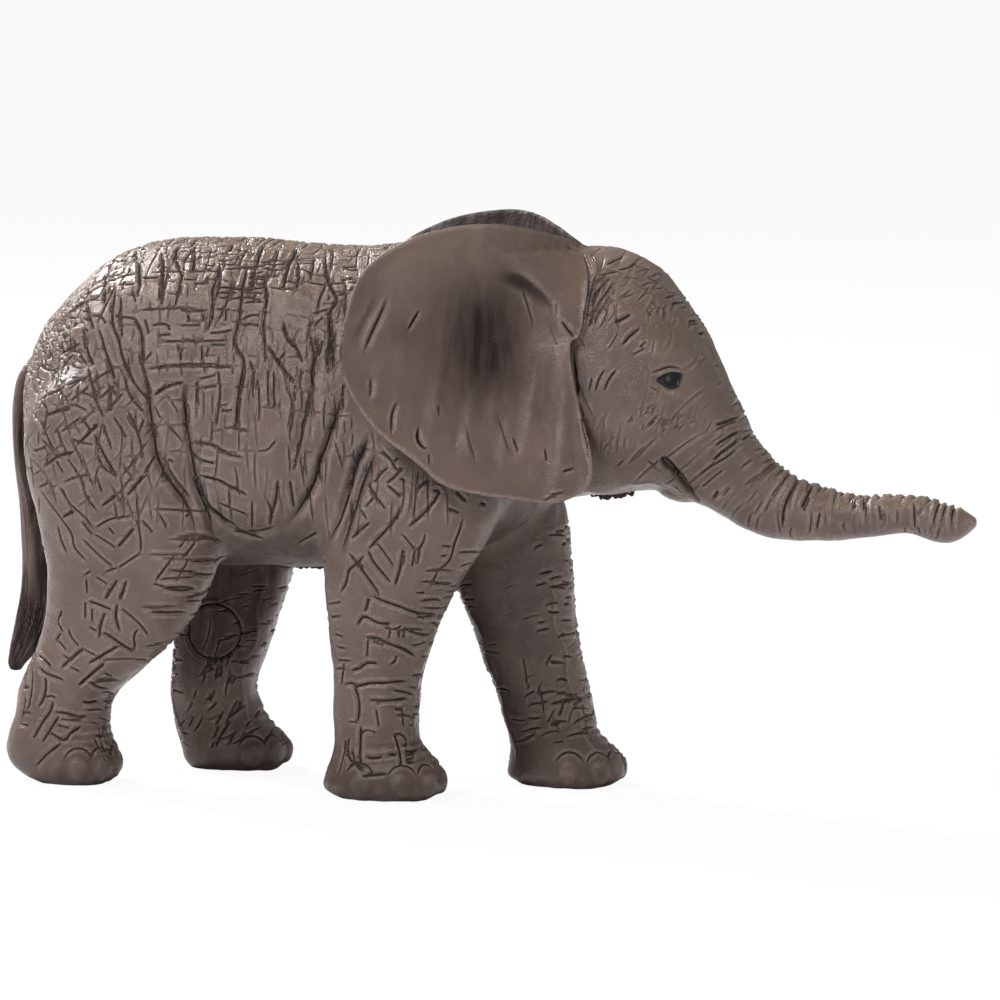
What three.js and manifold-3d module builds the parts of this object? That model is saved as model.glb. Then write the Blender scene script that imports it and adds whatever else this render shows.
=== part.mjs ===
// A figure of a young elephant, walking with its trunk held forward, moulded in soft PVC.
// The body is a hollow shell in two halves that close on the middle plane. The head, ears, legs and
// tail are mouldings of their own, each with a spigot or tab that sits in a socket of the piece that
// carries it. Millimetres; x runs forward, y to the animal's left and z up from the ground.

import * as THREE from "three";
import { mergeVertices } from "three/addons/utils/BufferGeometryUtils.js";
import Module from "manifold-3d";

const wasm = await Module();
wasm.setup();

// Body
const bodyLength = 51.3;
const bodyWidth = 26.4;
const backHeight = 52.5;
const bellyHeight = 21;
const rumpReach = 45.7;
const shellWall = 2.4;
const rumpWall = 4.2;
const neckWall = 3.2;
const bossRadius = 2.7;
const pegRadius = 1.3;
const pegLength = 2.4;

// Head and trunk
const headLength = 41.9;
const crownHeight = 52.4;
const headWidth = 18;
const neckSpigotRadius = 4.6;
const neckSpigotLength = 5.6;
const mouthWidth = 0.7;
const mouthDepth = 1.1;
const eyeRadius = 1.5;
const lipLength = 5.4;
const lipWidth = 5;
const lipHeight = 3.4;

// Ears
const rightEarHeight = 26.2;
const leftEarHeight = 26.8;
const rightEarLength = 22.5;
const leftEarLength = 27.2;
const earStand = 0.9;
const earFlare = 7.6;
const leftEarSetBack = 1;
const earThickness = 1.5;
const earRimThickness = 0.9;
const earDish = 2.1;
const earFold = 1.1;
const earHollow = 1.3;
const earTabLength = 3.2;
const earTabHeight = 7;
const earTabReach = 3;

// Legs
const legHeight = 40;
const footLength = 11.2;
const legBreadth = 10;
const legSpread = 8.2;
const legSpigotRadius = 2.5;
const legSpigotRise = 6;
const legSpigotOut = 6.4;
const socketWall = 1.6;
const nailWidth = 2.5;
const nailHeight = 2.3;
const nailRise = 0.35;

// Tail
const tailLength = 31.6;
const tailWidth = 2;
const tailPegRadius = 0.9;
const tailPegLength = 4;

// Gate plug
const plugRadius = 2.7;
const plugThickness = 1.3;
const plugStemRadius = 1.2;
const plugStemLength = 2;

// Fits
const seam = 0.3;
const fit = 0.15;
const overrun = 1;
const weld = 0.0001;

const neckPlace = bodyLength - rumpReach;
const bodyDepth = backHeight - bellyHeight;

// Places from the rump to the neck, then top, bottom, half width and height of the widest line.
const torsoShares = [
  [0, 0.52, 0.37, 0.18, 0.5],
  [0.012, 0.61, 0.31, 0.35, 0.5],
  [0.033, 0.7, 0.227, 0.5, 0.5],
  [0.075, 0.792, 0.145, 0.66, 0.48],
  [0.133, 0.888, 0.076, 0.79, 0.46],
  [0.21, 0.965, 0.025, 0.9, 0.45],
  [0.325, 1, 0, 0.97, 0.45],
  [0.48, 1, 0, 1, 0.45],
  [0.634, 0.993, 0.01, 0.965, 0.45],
  [0.75, 1.01, 0.03, 0.89, 0.46],
  [0.865, 1.03, 0.07, 0.79, 0.48],
  [0.942, 1.02, 0.135, 0.71, 0.5],
  [1, 0.997, 0.208, 0.667, 0.5],
];

// Swells of haunch, belly and shoulder: places along the right side and the left, height up the
// body, then their reach and rise against the body's width.
const swellShares = [
  [0.171, 0.193, 0.722, 0.227, 0.019],
  [0.223, 0.446, 0.308, 0.303, 0.019],
  [0.442, 0.588, 0.471, 0.227, -0.019],
  [0.518, 0.74, 0.297, 0.227, 0.023],
  [0.559, 0.576, 0.747, 0.341, -0.015],
  [0.673, 0.885, 0.332, 0.129, -0.023],
];

// Places from the neck to the tip of the trunk, then top, bottom, half width and widest line.
const headShares = [
  [0.072, 1.01, 0.55, 0.98, 0.5],
  [0.167, 1.006, 0.558, 1, 0.5],
  [0.227, 0.988, 0.565, 0.97, 0.5],
  [0.282, 0.952, 0.563, 0.9, 0.5],
  [0.317, 0.916, 0.556, 0.83, 0.5],
  [0.353, 0.878, 0.549, 0.76, 0.5],
  [0.389, 0.823, 0.538, 0.68, 0.5],
  [0.425, 0.763, 0.523, 0.59, 0.5],
  [0.463, 0.7, 0.508, 0.51, 0.5],
  [0.499, 0.653, 0.496, 0.45, 0.5],
  [0.57, 0.609, 0.487, 0.385, 0.5],
  [0.64, 0.586, 0.489, 0.34, 0.5],
  [0.709, 0.577, 0.494, 0.305, 0.5],
  [0.778, 0.58, 0.502, 0.275, 0.5],
  [0.847, 0.58, 0.51, 0.25, 0.5],
  [0.916, 0.569, 0.497, 0.24, 0.5],
  [0.95, 0.561, 0.498, 0.21, 0.5],
  [0.983, 0.551, 0.515, 0.14, 0.5],
  [1, 0.543, 0.528, 0.06, 0.5],
];

// Rows up a leg: height, rear and front edge from the middle of the foot, inner and outer face.
const rightForeShares = [
  [0, -0.375, 0.375, -0.41, 0.41],
  [0.02, -0.5, 0.48, -0.48, 0.48],
  [0.05, -0.5, 0.49, -0.49, 0.49],
  [0.09, -0.465, 0.43, -0.46, 0.46],
  [0.125, -0.44, 0.31, -0.42, 0.42],
  [0.175, -0.45, 0.26, -0.4, 0.4],
  [0.225, -0.455, 0.26, -0.4, 0.4],
  [0.3, -0.46, 0.3, -0.41, 0.41],
  [0.4, -0.505, 0.41, -0.43, 0.44],
  [0.5, -0.55, 0.56, -0.45, 0.46],
  [0.6, -0.59, 0.76, -0.48, 0.47],
  [0.7, -0.61, 0.95, -0.5, 0.46],
  [0.775, -0.58, 0.99, -0.5, 0.43],
  [0.835, -0.47, 0.84, -0.45, 0.37],
  [0.87, -0.2, 0.55, -0.3, 0.27],
];
const leftForeShares = [
  [0, -0.385, 0.375, -0.41, 0.41],
  [0.02, -0.49, 0.49, -0.48, 0.48],
  [0.05, -0.49, 0.5, -0.49, 0.49],
  [0.09, -0.48, 0.43, -0.46, 0.46],
  [0.125, -0.51, 0.3, -0.42, 0.42],
  [0.175, -0.57, 0.23, -0.4, 0.4],
  [0.225, -0.63, 0.19, -0.4, 0.4],
  [0.3, -0.75, 0.125, -0.41, 0.41],
  [0.4, -0.88, 0.045, -0.43, 0.44],
  [0.5, -1.06, -0.01, -0.45, 0.46],
  [0.6, -1.18, -0.06, -0.48, 0.43],
  [0.7, -1.31, -0.115, -0.5, 0.37],
  [0.775, -1.34, -0.18, -0.5, 0.32],
  [0.835, -1.22, -0.36, -0.45, 0.24],
  [0.87, -0.97, -0.6, -0.3, 0.14],
];
const rightHindShares = [
  [0, -0.18, 0.39, -0.38, 0.38],
  [0.015, -0.32, 0.465, -0.44, 0.44],
  [0.038, -0.43, 0.49, -0.47, 0.47],
  [0.07, -0.49, 0.475, -0.47, 0.47],
  [0.105, -0.475, 0.42, -0.44, 0.44],
  [0.16, -0.41, 0.385, -0.4, 0.4],
  [0.213, -0.385, 0.44, -0.4, 0.41],
  [0.255, -0.34, 0.59, -0.41, 0.43],
  [0.315, -0.24, 0.82, -0.42, 0.46],
  [0.375, -0.16, 1.035, -0.43, 0.49],
  [0.45, -0.125, 1.195, -0.45, 0.51],
  [0.545, -0.16, 1.34, -0.48, 0.53],
  [0.65, -0.25, 1.39, -0.5, 0.55],
  [0.75, -0.34, 1.32, -0.5, 0.56],
  [0.85, -0.36, 1.125, -0.5, 0.54],
  [0.95, -0.18, 0.8, -0.45, 0.47],
  [1, 0.09, 0.535, -0.3, 0.38],
];
const leftHindShares = [
  [0, -0.39, 0.375, -0.38, 0.38],
  [0.018, -0.445, 0.44, -0.44, 0.44],
  [0.048, -0.47, 0.47, -0.47, 0.47],
  [0.078, -0.5, 0.43, -0.46, 0.46],
  [0.105, -0.53, 0.34, -0.43, 0.43],
  [0.135, -0.55, 0.25, -0.41, 0.41],
  [0.193, -0.59, 0.16, -0.4, 0.4],
  [0.253, -0.58, 0.195, -0.41, 0.42],
  [0.313, -0.56, 0.275, -0.42, 0.45],
  [0.375, -0.59, 0.34, -0.43, 0.48],
  [0.45, -0.7, 0.42, -0.45, 0.51],
  [0.55, -0.91, 0.5, -0.48, 0.53],
  [0.65, -1.14, 0.535, -0.5, 0.55],
  [0.75, -1.3, 0.5, -0.5, 0.56],
  [0.85, -1.37, 0.34, -0.5, 0.54],
  [0.95, -1.23, -0.035, -0.45, 0.47],
  [1, -0.98, -0.36, -0.3, 0.38],
];

// Where each leg stands along the body, what carries its spigot, and its nails as turns about the
// foot in quarters, from straight ahead towards the outer side.
const legs = [
  {
    name: "right_fore_leg",
    side: -1,
    placeShare: 0.745,
    rowShares: rightForeShares,
    spigotShare: 0.735,
    nailTurnShares: [-0.5, -0.1, 0.3, 0.72, 1.12],
  },
  {
    name: "left_fore_leg",
    side: 1,
    placeShare: 1.023,
    rowShares: leftForeShares,
    spigotShare: 0.87,
    nailTurnShares: [-0.9, -0.5, -0.14, 0.25, 0.66],
  },
  {
    name: "right_hind_leg",
    side: -1,
    placeShare: 0.123,
    rowShares: rightHindShares,
    spigotShare: 0.255,
    nailTurnShares: [-0.35, 0.02, 0.36, 0.74],
  },
  {
    name: "left_hind_leg",
    side: 1,
    placeShare: 0.376,
    rowShares: leftHindShares,
    spigotShare: 0.33,
    nailTurnShares: [-0.7, -0.3, 0.08, 0.48],
  },
];

// Ear outline from the notch in its front edge: backwards by the length, upwards by the height.
const earOutlineShares = [
  [0, 0],
  [-0.03, 0.13],
  [-0.04, 0.237],
  [0.012, 0.29],
  [0.08, 0.33],
  [0.197, 0.375],
  [0.333, 0.402],
  [0.506, 0.388],
  [0.678, 0.338],
  [0.845, 0.231],
  [0.924, 0.036],
  [0.93, -0.13],
  [0.8, -0.322],
  [0.62, -0.451],
  [0.48, -0.545],
  [0.215, -0.587],
  [0.057, -0.595],
  [-0.055, -0.533],
  [-0.07, -0.44],
  [-0.012, -0.25],
  [0.03, -0.032],
];
const earMiddleShare = [0.42, -0.08];
const earNotchShare = { along: 0.116, up: 0.854 };
const earRootShare = 0.4;
const earClimbShare = 0.93;
const earHollowShare = { back: 0.27, up: -0.02, length: 0.14, height: 0.22 };
const earFoldShare = { start: 0.02, end: 0.32, climb: 0.25, edge: 0.04, fade: 0.26, gone: 0.42 };

// Tail from its root down: drop, place behind the root, depth and width.
const tailShares = [
  [0, -0.03, 0.7, 0.9],
  [0.08, 0.018, 0.9, 1.1],
  [0.16, 0.036, 0.9, 1.1],
  [0.24, 0.04, 0.8, 1],
  [0.35, 0.032, 0.8, 0.95],
  [0.47, 0.005, 1.15, 0.85],
  [0.6, -0.018, 1.55, 0.8],
  [0.757, -0.026, 1.8, 0.8],
  [0.855, -0.01, 1.8, 1],
  [0.95, 0.025, 1.2, 1.1],
  [0.985, 0.041, 0.75, 0.9],
  [1, 0.041, 0.5, 0.7],
];
const tailRootShare = { along: 0.006, up: 0.637 };
const tailPegShare = 0.12;

// Pegs that line the two halves up, along the body and up its depth.
const pegShares = [
  [0.15, 0.55],
  [0.46, 0.86],
  [0.55, 0.16],
  [0.8, 0.62],
];

// The mouth from its corner to the chin, along the head and up to the crown.
const mouthShares = [
  [0.272, 0.655],
  [0.296, 0.622],
  [0.335, 0.583],
  [0.4, 0.53],
];
const lipShare = { along: 0.32, up: 0.579 };
const eyeShare = { along: 0.333, up: 0.783, out: 0.66 };
const plugShare = 0.343;

// Facets
const torsoAround = 32;
const headAround = 22;
const legAround = 20;
const tailAround = 8;
const earAround = 38;
const earRings = 5;
const roundFacets = 16;
const nailFacets = 6;

// Reads rows of a place followed by values, and returns their smooth course between the rows.
function course(rows) {
  const places = rows.map((row) => row[0]);
  const values = rows.flatMap((row) => row.slice(1));
  const curve = new THREE.CubicInterpolant(places, values, rows[0].length - 1);
  return (place) => Array.from(curve.evaluate(place));
}

function solidFrom(points, faces) {
  const vertProperties = new Float32Array(points.flatMap((p) => [p.x, p.y, p.z]));
  const triVerts = new Uint32Array(faces);
  return new wasm.Manifold(new wasm.Mesh({ numProp: 3, vertProperties, triVerts }));
}

function solidOf(geometry) {
  geometry.deleteAttribute("normal");
  geometry.deleteAttribute("uv");
  const merged = mergeVertices(geometry, weld);
  return new wasm.Manifold(
    new wasm.Mesh({
      numProp: 3,
      vertProperties: merged.attributes.position.array,
      triVerts: new Uint32Array(merged.index.array),
    }),
  );
}

function middleOf(ring) {
  return ring.reduce((sum, p) => sum.add(p), new THREE.Vector3()).divideScalar(ring.length);
}

// A skin over rings that turn the same way as seen from ahead of the last, closed at both ends.
function skin(rings) {
  const around = rings[0].length;
  const points = rings.flat();
  const start = points.push(middleOf(rings[0])) - 1;
  const end = points.push(middleOf(rings.at(-1))) - 1;
  const lastRing = (rings.length - 1) * around;
  const faces = [];
  for (let k = 0; k < around; k++) {
    const next = (k + 1) % around;
    faces.push(start, next, k, end, lastRing + k, lastRing + next);
    for (let base = 0; base < lastRing; base += around) {
      faces.push(base + k, base + next, base + around + next);
      faces.push(base + k, base + around + next, base + around + k);
    }
  }
  return solidFrom(points, faces);
}

// A point of a rounded section: the cosine and sine of its turn, pressed outwards by squareness.
function rounded(turn, squareness) {
  const press = (value) => Math.sign(value) * Math.abs(value) ** (2 / squareness);
  return [press(Math.cos(turn)), press(Math.sin(turn))];
}

function turnsOf(count) {
  return Array.from({ length: count }, (_, k) => (2 * Math.PI * k) / count);
}

// Upright section across the body or head at x, with the widest line between top and bottom.
function crossSection(x, top, bottom, half, widest, around, squareness) {
  const height = bottom + widest * (top - bottom);
  return turnsOf(around).map((turn) => {
    const [side, up] = rounded(turn, squareness);
    const reach = up > 0 ? top - height : height - bottom;
    return new THREE.Vector3(x, side * half, height + up * reach);
  });
}

function rod(radius, length) {
  return new THREE.CylinderGeometry(radius, radius, length, roundFacets);
}

function rodAlongY(radius, x, z, from, to) {
  return solidOf(rod(radius, Math.abs(to - from)).translate(x, (from + to) / 2, z));
}

function rodAlongX(radius, y, z, from, to) {
  const bar = rod(radius, Math.abs(to - from)).rotateZ(Math.PI / 2);
  return solidOf(bar.translate((from + to) / 2, y, z));
}

function rodAlongZ(radius, x, y, from, to) {
  const bar = rod(radius, Math.abs(to - from)).rotateX(Math.PI / 2);
  return solidOf(bar.translate(x, y, (from + to) / 2));
}

function ellipsoid(x, y, z, length, width, height) {
  const ball = new THREE.SphereGeometry(1, roundFacets / 2, roundFacets / 2);
  return solidOf(ball.scale(length / 2, width / 2, height / 2).translate(x, y, z));
}

// Torso: sections from rump to neck, grown all round by a margin that may be negative
const torsoCourse = course(torsoShares);
const torsoSquareness = 2.25;
const torsoSteps = 22;
const cavitySteps = 10;

function torsoSizes(along) {
  const [top, bottom, half, widest] = torsoCourse(along);
  return {
    x: along * bodyLength - rumpReach,
    top: bellyHeight + top * bodyDepth,
    bottom: bellyHeight + bottom * bodyDepth,
    half: (half * bodyWidth) / 2,
    widest,
  };
}

// How far the swells lift a point of the torso's skin outwards
function swellAt(point, half) {
  const lifts = swellShares.map(([right, left, up, reach, rise]) => {
    const along = point.y < 0 ? right : left;
    const away = Math.hypot(
      point.x - (along * bodyLength - rumpReach),
      Math.abs(point.y) - half,
      point.z - (bellyHeight + up * bodyDepth),
    );
    return rise * bodyWidth * Math.exp(-((away / (reach * bodyWidth)) ** 2));
  });
  return lifts.reduce((sum, lift) => sum + lift);
}

function torsoSolid(margin, from, to, steps, around) {
  const rings = [];
  for (let k = 0; k <= steps; k++) {
    const share = k / steps;
    const eased = (share + share * share * (3 - 2 * share)) / 2;
    const s = torsoSizes(from + (to - from) * eased);
    const beyond = Math.max(margin, 0) * (share * 2 - 1);
    const ring = crossSection(
      s.x + beyond,
      s.top + margin,
      s.bottom - margin,
      s.half + margin,
      s.widest,
      around,
      torsoSquareness,
    );
    ring.forEach((point) => {
      point.y += Math.sign(point.y) * swellAt(point, s.half);
    });
    rings.push(ring);
  }
  return skin(rings);
}

// The height of the torso's underside at a place along it and a distance out from the middle
function torsoUnderside(along, out) {
  const s = torsoSizes(along);
  const widest = s.bottom + s.widest * (s.top - s.bottom);
  const aside = (out / s.half) ** torsoSquareness;
  return widest - (1 - aside) ** (1 / torsoSquareness) * (widest - s.bottom);
}

// How far out the torso's skin lies on one side at a place x and a height
function torsoSide(side, x, z) {
  const along = THREE.MathUtils.clamp((x + rumpReach) / bodyLength, 0, 1);
  const s = torsoSizes(along);
  const widest = s.bottom + s.widest * (s.top - s.bottom);
  const tall = z > widest ? s.top - widest : widest - s.bottom;
  const up = Math.min(Math.abs(z - widest) / tall, 1);
  const out = s.half * (1 - up ** torsoSquareness) ** (1 / torsoSquareness);
  return out + swellAt(new THREE.Vector3(x, side * out, z), s.half);
}

const torso = torsoSolid(0, 0, 1, torsoSteps, torsoAround);
const torsoCut = torsoSolid(seam, 0, 1, torsoSteps, torsoAround);

// Head: the neck's own section, then the rows of the head and trunk
const headSquareness = 2.15;
const headSteps = 29;
const neck = torsoSizes(1);
const neckHeight = (neck.top + neck.bottom) / 2;
const headCourse = course([
  [0, neck.top, neck.bottom, neck.half, neck.widest],
  ...headShares.map(([along, top, bottom, half, widest]) => [
    along,
    top * crownHeight,
    bottom * crownHeight,
    (half * headWidth) / 2,
    widest,
  ]),
]);

function headSolid(margin) {
  const rings = [];
  for (let k = 0; k <= headSteps; k++) {
    const along = k / headSteps;
    const [top, bottom, half, widest] = headCourse(along);
    const spare = Math.max(margin, -half / 2);
    const blend = Math.min(1, along / headShares[1][0]);
    rings.push(
      crossSection(
        neckPlace + along * headLength,
        top + spare,
        bottom - spare,
        half + spare,
        widest,
        headAround,
        torsoSquareness + (headSquareness - torsoSquareness) * blend,
      ),
    );
  }
  return skin(rings);
}

const headCut = headSolid(seam);

// The mouth is a groove that deepens from the corner to the chin and leaves the middle whole
function mouthGroove() {
  const line = new THREE.CatmullRomCurve3(
    mouthShares.map(
      ([along, up]) => new THREE.Vector3(neckPlace + along * headLength, up * crownHeight, 0),
    ),
  );
  const steps = 3 * mouthShares.length;
  const above = [];
  const below = [];
  for (let k = 0; k <= steps; k++) {
    const share = k / steps;
    const point = line.getPoint(share);
    const tangent = line.getTangent(share);
    const wide = (mouthWidth / 2) * Math.min(1, (k + 1) / mouthShares.length);
    above.push(new THREE.Vector2(point.x - tangent.y * wide, point.y + tangent.x * wide));
    below.unshift(new THREE.Vector2(point.x + tangent.y * wide, point.y - tangent.x * wide));
  }
  const outline = new THREE.Shape([...above, ...below]);
  const slab = new THREE.ExtrudeGeometry(outline, { depth: headWidth, bevelEnabled: false });
  const cut = solidOf(slab.rotateX(Math.PI / 2).translate(0, headWidth / 2, 0));
  return cut.subtract(headSolid(-mouthDepth));
}

// Legs: level sections up from the flat sole
const legSquareness = 2.5;
const legSteps = 16;
const legCrowding = 1.25;
const nailShare = 0.042;

function legSizes(leg, up) {
  const [rear, front, inner, outer] = course(leg.rowShares)(up);
  return {
    x: leg.placeShare * bodyLength - rumpReach + ((rear + front) / 2) * footLength,
    out: legSpread + ((inner + outer) / 2) * legBreadth,
    long: ((front - rear) / 2) * footLength,
    wide: ((outer - inner) / 2) * legBreadth,
    z: up * legHeight,
  };
}

function legSolid(leg, margin) {
  const top = leg.rowShares.at(-1)[0];
  const rings = [];
  for (let k = 0; k <= legSteps; k++) {
    const s = legSizes(leg, top * (k / legSteps) ** legCrowding);
    const z = s.z + (margin * k) / legSteps;
    const ring = turnsOf(legAround).map((turn) => {
      const [ahead, aside] = rounded(turn, legSquareness);
      const out = s.out + aside * (s.wide + margin);
      return new THREE.Vector3(s.x + ahead * (s.long + margin), leg.side * out, z);
    });
    rings.push(leg.side > 0 ? ring : ring.reverse());
  }
  return skin(rings);
}

function nailSolid(leg, quarters) {
  const s = legSizes(leg, nailShare);
  const turn = (quarters * Math.PI) / 2;
  const [ahead, aside] = rounded(turn, legSquareness);
  const nail = new THREE.SphereGeometry(1, nailFacets, nailFacets);
  nail.scale(nailRise * 2, nailWidth / 2, nailHeight / 2);
  nail.rotateZ(leg.side * turn);
  const x = s.x + ahead * s.long - nailRise * Math.cos(turn);
  const y = leg.side * (s.out + aside * s.wide - nailRise * Math.sin(turn));
  return solidOf(nail.translate(x, y, s.z));
}

function spigotOf(leg) {
  return {
    x: leg.spigotShare * bodyLength - rumpReach,
    y: leg.side * legSpigotOut,
    seat: torsoUnderside(leg.spigotShare, legSpigotOut),
  };
}

function legPiece(leg) {
  const { x, y, seat } = spigotOf(leg);
  const spigot = rodAlongZ(legSpigotRadius, x, y, seat - legSpigotRise, seat + legSpigotRise);
  const nails = leg.nailTurnShares.map((quarters) => nailSolid(leg, quarters));
  const limb = nails.reduce((sum, nail) => sum.add(nail), legSolid(leg, 0));
  return limb.subtract(torsoCut).subtract(headCut).add(spigot);
}

// Ears: thin dished sheets whose root follows the head's side, with a tab that sits in its slot
const ears = [
  {
    name: "right_ear",
    side: -1,
    length: rightEarLength,
    height: rightEarHeight,
    setBack: 0,
  },
  {
    name: "left_ear",
    side: 1,
    length: leftEarLength,
    height: leftEarHeight,
    setBack: leftEarSetBack,
  },
];
const [headTop, headBottom, headHalf, headWidest] = headCourse(earNotchShare.along);
const headMiddle = headBottom + headWidest * (headTop - headBottom);
const earNotch = {
  x: neckPlace + earNotchShare.along * headLength,
  z: earNotchShare.up * crownHeight,
  out: Math.max(headHalf, neck.half) + earStand,
};

// How far the head's side has drawn in at a height above its widest line, near the crown no further
function headDrawIn(z) {
  const climb = (z - headMiddle) / (headTop - headMiddle);
  const above = THREE.MathUtils.clamp(climb, 0, earClimbShare);
  return headHalf * (1 - (1 - above ** headSquareness) ** (1 / headSquareness));
}

function earTab(ear, clearance) {
  const x = earNotch.x - ear.setBack - earTabLength / 2;
  const y = ear.side * (earNotch.out - seam - (earTabReach + earThickness) / 2);
  const z = earNotch.z - earTabHeight / 2;
  const box = new THREE.BoxGeometry(
    earTabLength + 2 * clearance,
    earTabReach + earThickness + 2 * clearance,
    earTabHeight + 2 * clearance,
  );
  return solidOf(box.translate(x, y, z));
}

function earSolid(ear) {
  const rim = new THREE.CatmullRomCurve3(
    earOutlineShares.map(([back, up]) => new THREE.Vector3(back, up, 0)),
    true,
  );
  const outer = [];
  const inner = [];
  const [middleBack, middleUp] = earMiddleShare;
  const place = (rimShare, reach, depth) => {
    const edge = rim.getPoint(rimShare);
    const back = middleBack + (edge.x - middleBack) * reach;
    const up = middleUp + (edge.y - middleUp) * reach;
    const z = earNotch.z + up * ear.height;
    const { smoothstep } = THREE.MathUtils;
    const root = earNotch.out - headDrawIn(z) * (1 - smoothstep(back, 0, earRootShare));
    const flared = earFlare * Math.sin((Math.PI / 2) * THREE.MathUtils.clamp(back, 0, 1));
    const dished = earDish * (1 - reach ** 2);
    const fold = earFoldShare;
    const crease = fold.climb * smoothstep(back, fold.start, fold.end);
    const folded = smoothstep(up, crease - fold.edge, crease + fold.edge);
    const lobe = earFold * folded * (1 - smoothstep(back, fold.fade, fold.gone));
    const hollow = earHollowShare;
    const aside = Math.hypot(
      (back - hollow.back) / hollow.length,
      (up - hollow.up) / hollow.height,
    );
    const sunk = earHollow * Math.exp(-(aside ** 2));
    const sheet = root + flared - dished + lobe * (1 - reach ** earRings) - sunk;
    const x = earNotch.x - ear.setBack - back * ear.length;
    // Where the hollow would sink into the torso, the sheet rests on the shoulder instead
    const shoulder = torsoSide(ear.side, x, z) + seam + earRimThickness;
    return new THREE.Vector3(x, ear.side * (Math.max(sheet, shoulder) - depth), z);
  };
  for (let r = 1; r <= earRings; r++) {
    const reach = r / earRings;
    const thick = earThickness + (earRimThickness - earThickness) * reach ** 3;
    const turns = Array.from({ length: earAround }, (_, k) => k / earAround);
    outer.push(turns.map((turn) => place(turn, reach, 0)));
    inner.unshift(turns.map((turn) => place(turn, reach, thick)));
  }
  const rings = [...outer, ...inner];
  return skin(ear.side > 0 ? rings : rings.reverse());
}

function earPiece(ear) {
  const shoulders = legs.map((leg) => legSolid(leg, seam));
  const behind = [torsoCut, headCut, ...shoulders];
  return behind.reduce((sheet, cut) => sheet.subtract(cut), earSolid(ear)).add(earTab(ear, 0));
}

// Plug over the moulding gate, flush in the inner face of the left hind leg
const plugLeg = legs.find((leg) => leg.name === "left_hind_leg");
const plugSeat = legSizes(plugLeg, plugShare);
const plugFace = plugSeat.out - plugSeat.wide;

function plugSolid(clearance) {
  const shoulder = plugFace + plugThickness + clearance;
  const open = plugFace - (clearance ? overrun : 0);
  const disc = rodAlongY(plugRadius + clearance, plugSeat.x, plugSeat.z, open, shoulder);
  const stem = rodAlongY(
    plugStemRadius + clearance,
    plugSeat.x,
    plugSeat.z,
    plugFace + clearance,
    shoulder + plugStemLength + clearance,
  );
  return disc.add(stem);
}

// Tail: level sections down its length, the peg through its root
const tailRoot = {
  x: tailRootShare.along * bodyLength - rumpReach,
  z: bellyHeight + tailRootShare.up * bodyDepth,
};
const tailCourse = course(tailShares);
const tailSteps = 15;

function tailSolid() {
  const rings = [];
  for (let k = 0; k <= tailSteps; k++) {
    const drop = 1 - k / tailSteps;
    const [behind, deep, wide] = tailCourse(drop);
    const ring = turnsOf(tailAround).map((turn) => {
      const [ahead, aside] = rounded(turn, 2);
      return new THREE.Vector3(
        tailRoot.x - behind * tailLength + (ahead * deep * tailWidth) / 2,
        (aside * wide * tailWidth) / 2,
        tailRoot.z - drop * tailLength,
      );
    });
    rings.push(ring);
  }
  return skin(rings);
}

function tailPeg(clearance) {
  const [behind] = tailCourse(tailPegShare);
  const x = tailRoot.x - behind * tailLength;
  const z = tailRoot.z - tailPegShare * tailLength;
  const to = x + tailPegLength + 2 * clearance;
  return rodAlongX(tailPegRadius + clearance, 0, z, x - tailPegRadius / 2, to);
}

// Torso halves: bosses stand in the cavity, and the cuts for the other pieces go through both
const halfSpan = bodyLength + headLength + backHeight;

function sideBlock(side) {
  const block = new THREE.BoxGeometry(2 * halfSpan, halfSpan, 2 * halfSpan);
  return solidOf(block.translate(0, (side * halfSpan) / 2, 0));
}

function torsoBosses() {
  const sockets = legs.map((leg) => {
    const { x, y, seat } = spigotOf(leg);
    const radius = legSpigotRadius + fit + socketWall;
    return rodAlongZ(radius, x, y, seat - socketWall, seat + legSpigotRise + seam + socketWall);
  });
  const bosses = pegShares.map(([along, up]) => {
    const x = along * bodyLength - rumpReach;
    const z = bellyHeight + up * bodyDepth;
    return rodAlongY(bossRadius, x, z, -bodyWidth / 2, bodyWidth / 2);
  });
  return [...sockets, ...bosses].reduce((sum, boss) => sum.add(boss));
}

function torsoHoles() {
  const legHoles = legs.map((leg) => {
    const { x, y, seat } = spigotOf(leg);
    return rodAlongZ(legSpigotRadius + fit, x, y, seat - legSpigotRise, seat + legSpigotRise + seam);
  });
  const neckHole = rodAlongX(
    neckSpigotRadius + fit,
    0,
    neckHeight,
    neckPlace - neckSpigotLength - seam,
    neckPlace + overrun,
  );
  return [...legHoles, neckHole, tailPeg(fit)].reduce((sum, hole) => sum.add(hole));
}

const cavity = torsoSolid(
  -shellWall,
  rumpWall / bodyLength,
  1 - neckWall / bodyLength,
  cavitySteps,
  roundFacets,
).subtract(torsoBosses());
const torsoShell = torso.subtract(cavity).subtract(torsoHoles());

function torsoHalf(side) {
  const half = torsoShell.intersect(sideBlock(side));
  const pegs = pegShares.map(([along, up]) => {
    const x = along * bodyLength - rumpReach;
    const z = bellyHeight + up * bodyDepth;
    return side < 0
      ? rodAlongY(pegRadius, x, z, -pegLength, pegLength)
      : rodAlongY(pegRadius + fit, x, z, -overrun, pegLength + seam);
  });
  const all = pegs.reduce((sum, peg) => sum.add(peg));
  return side < 0 ? half.add(all) : half.subtract(all);
}

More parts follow.
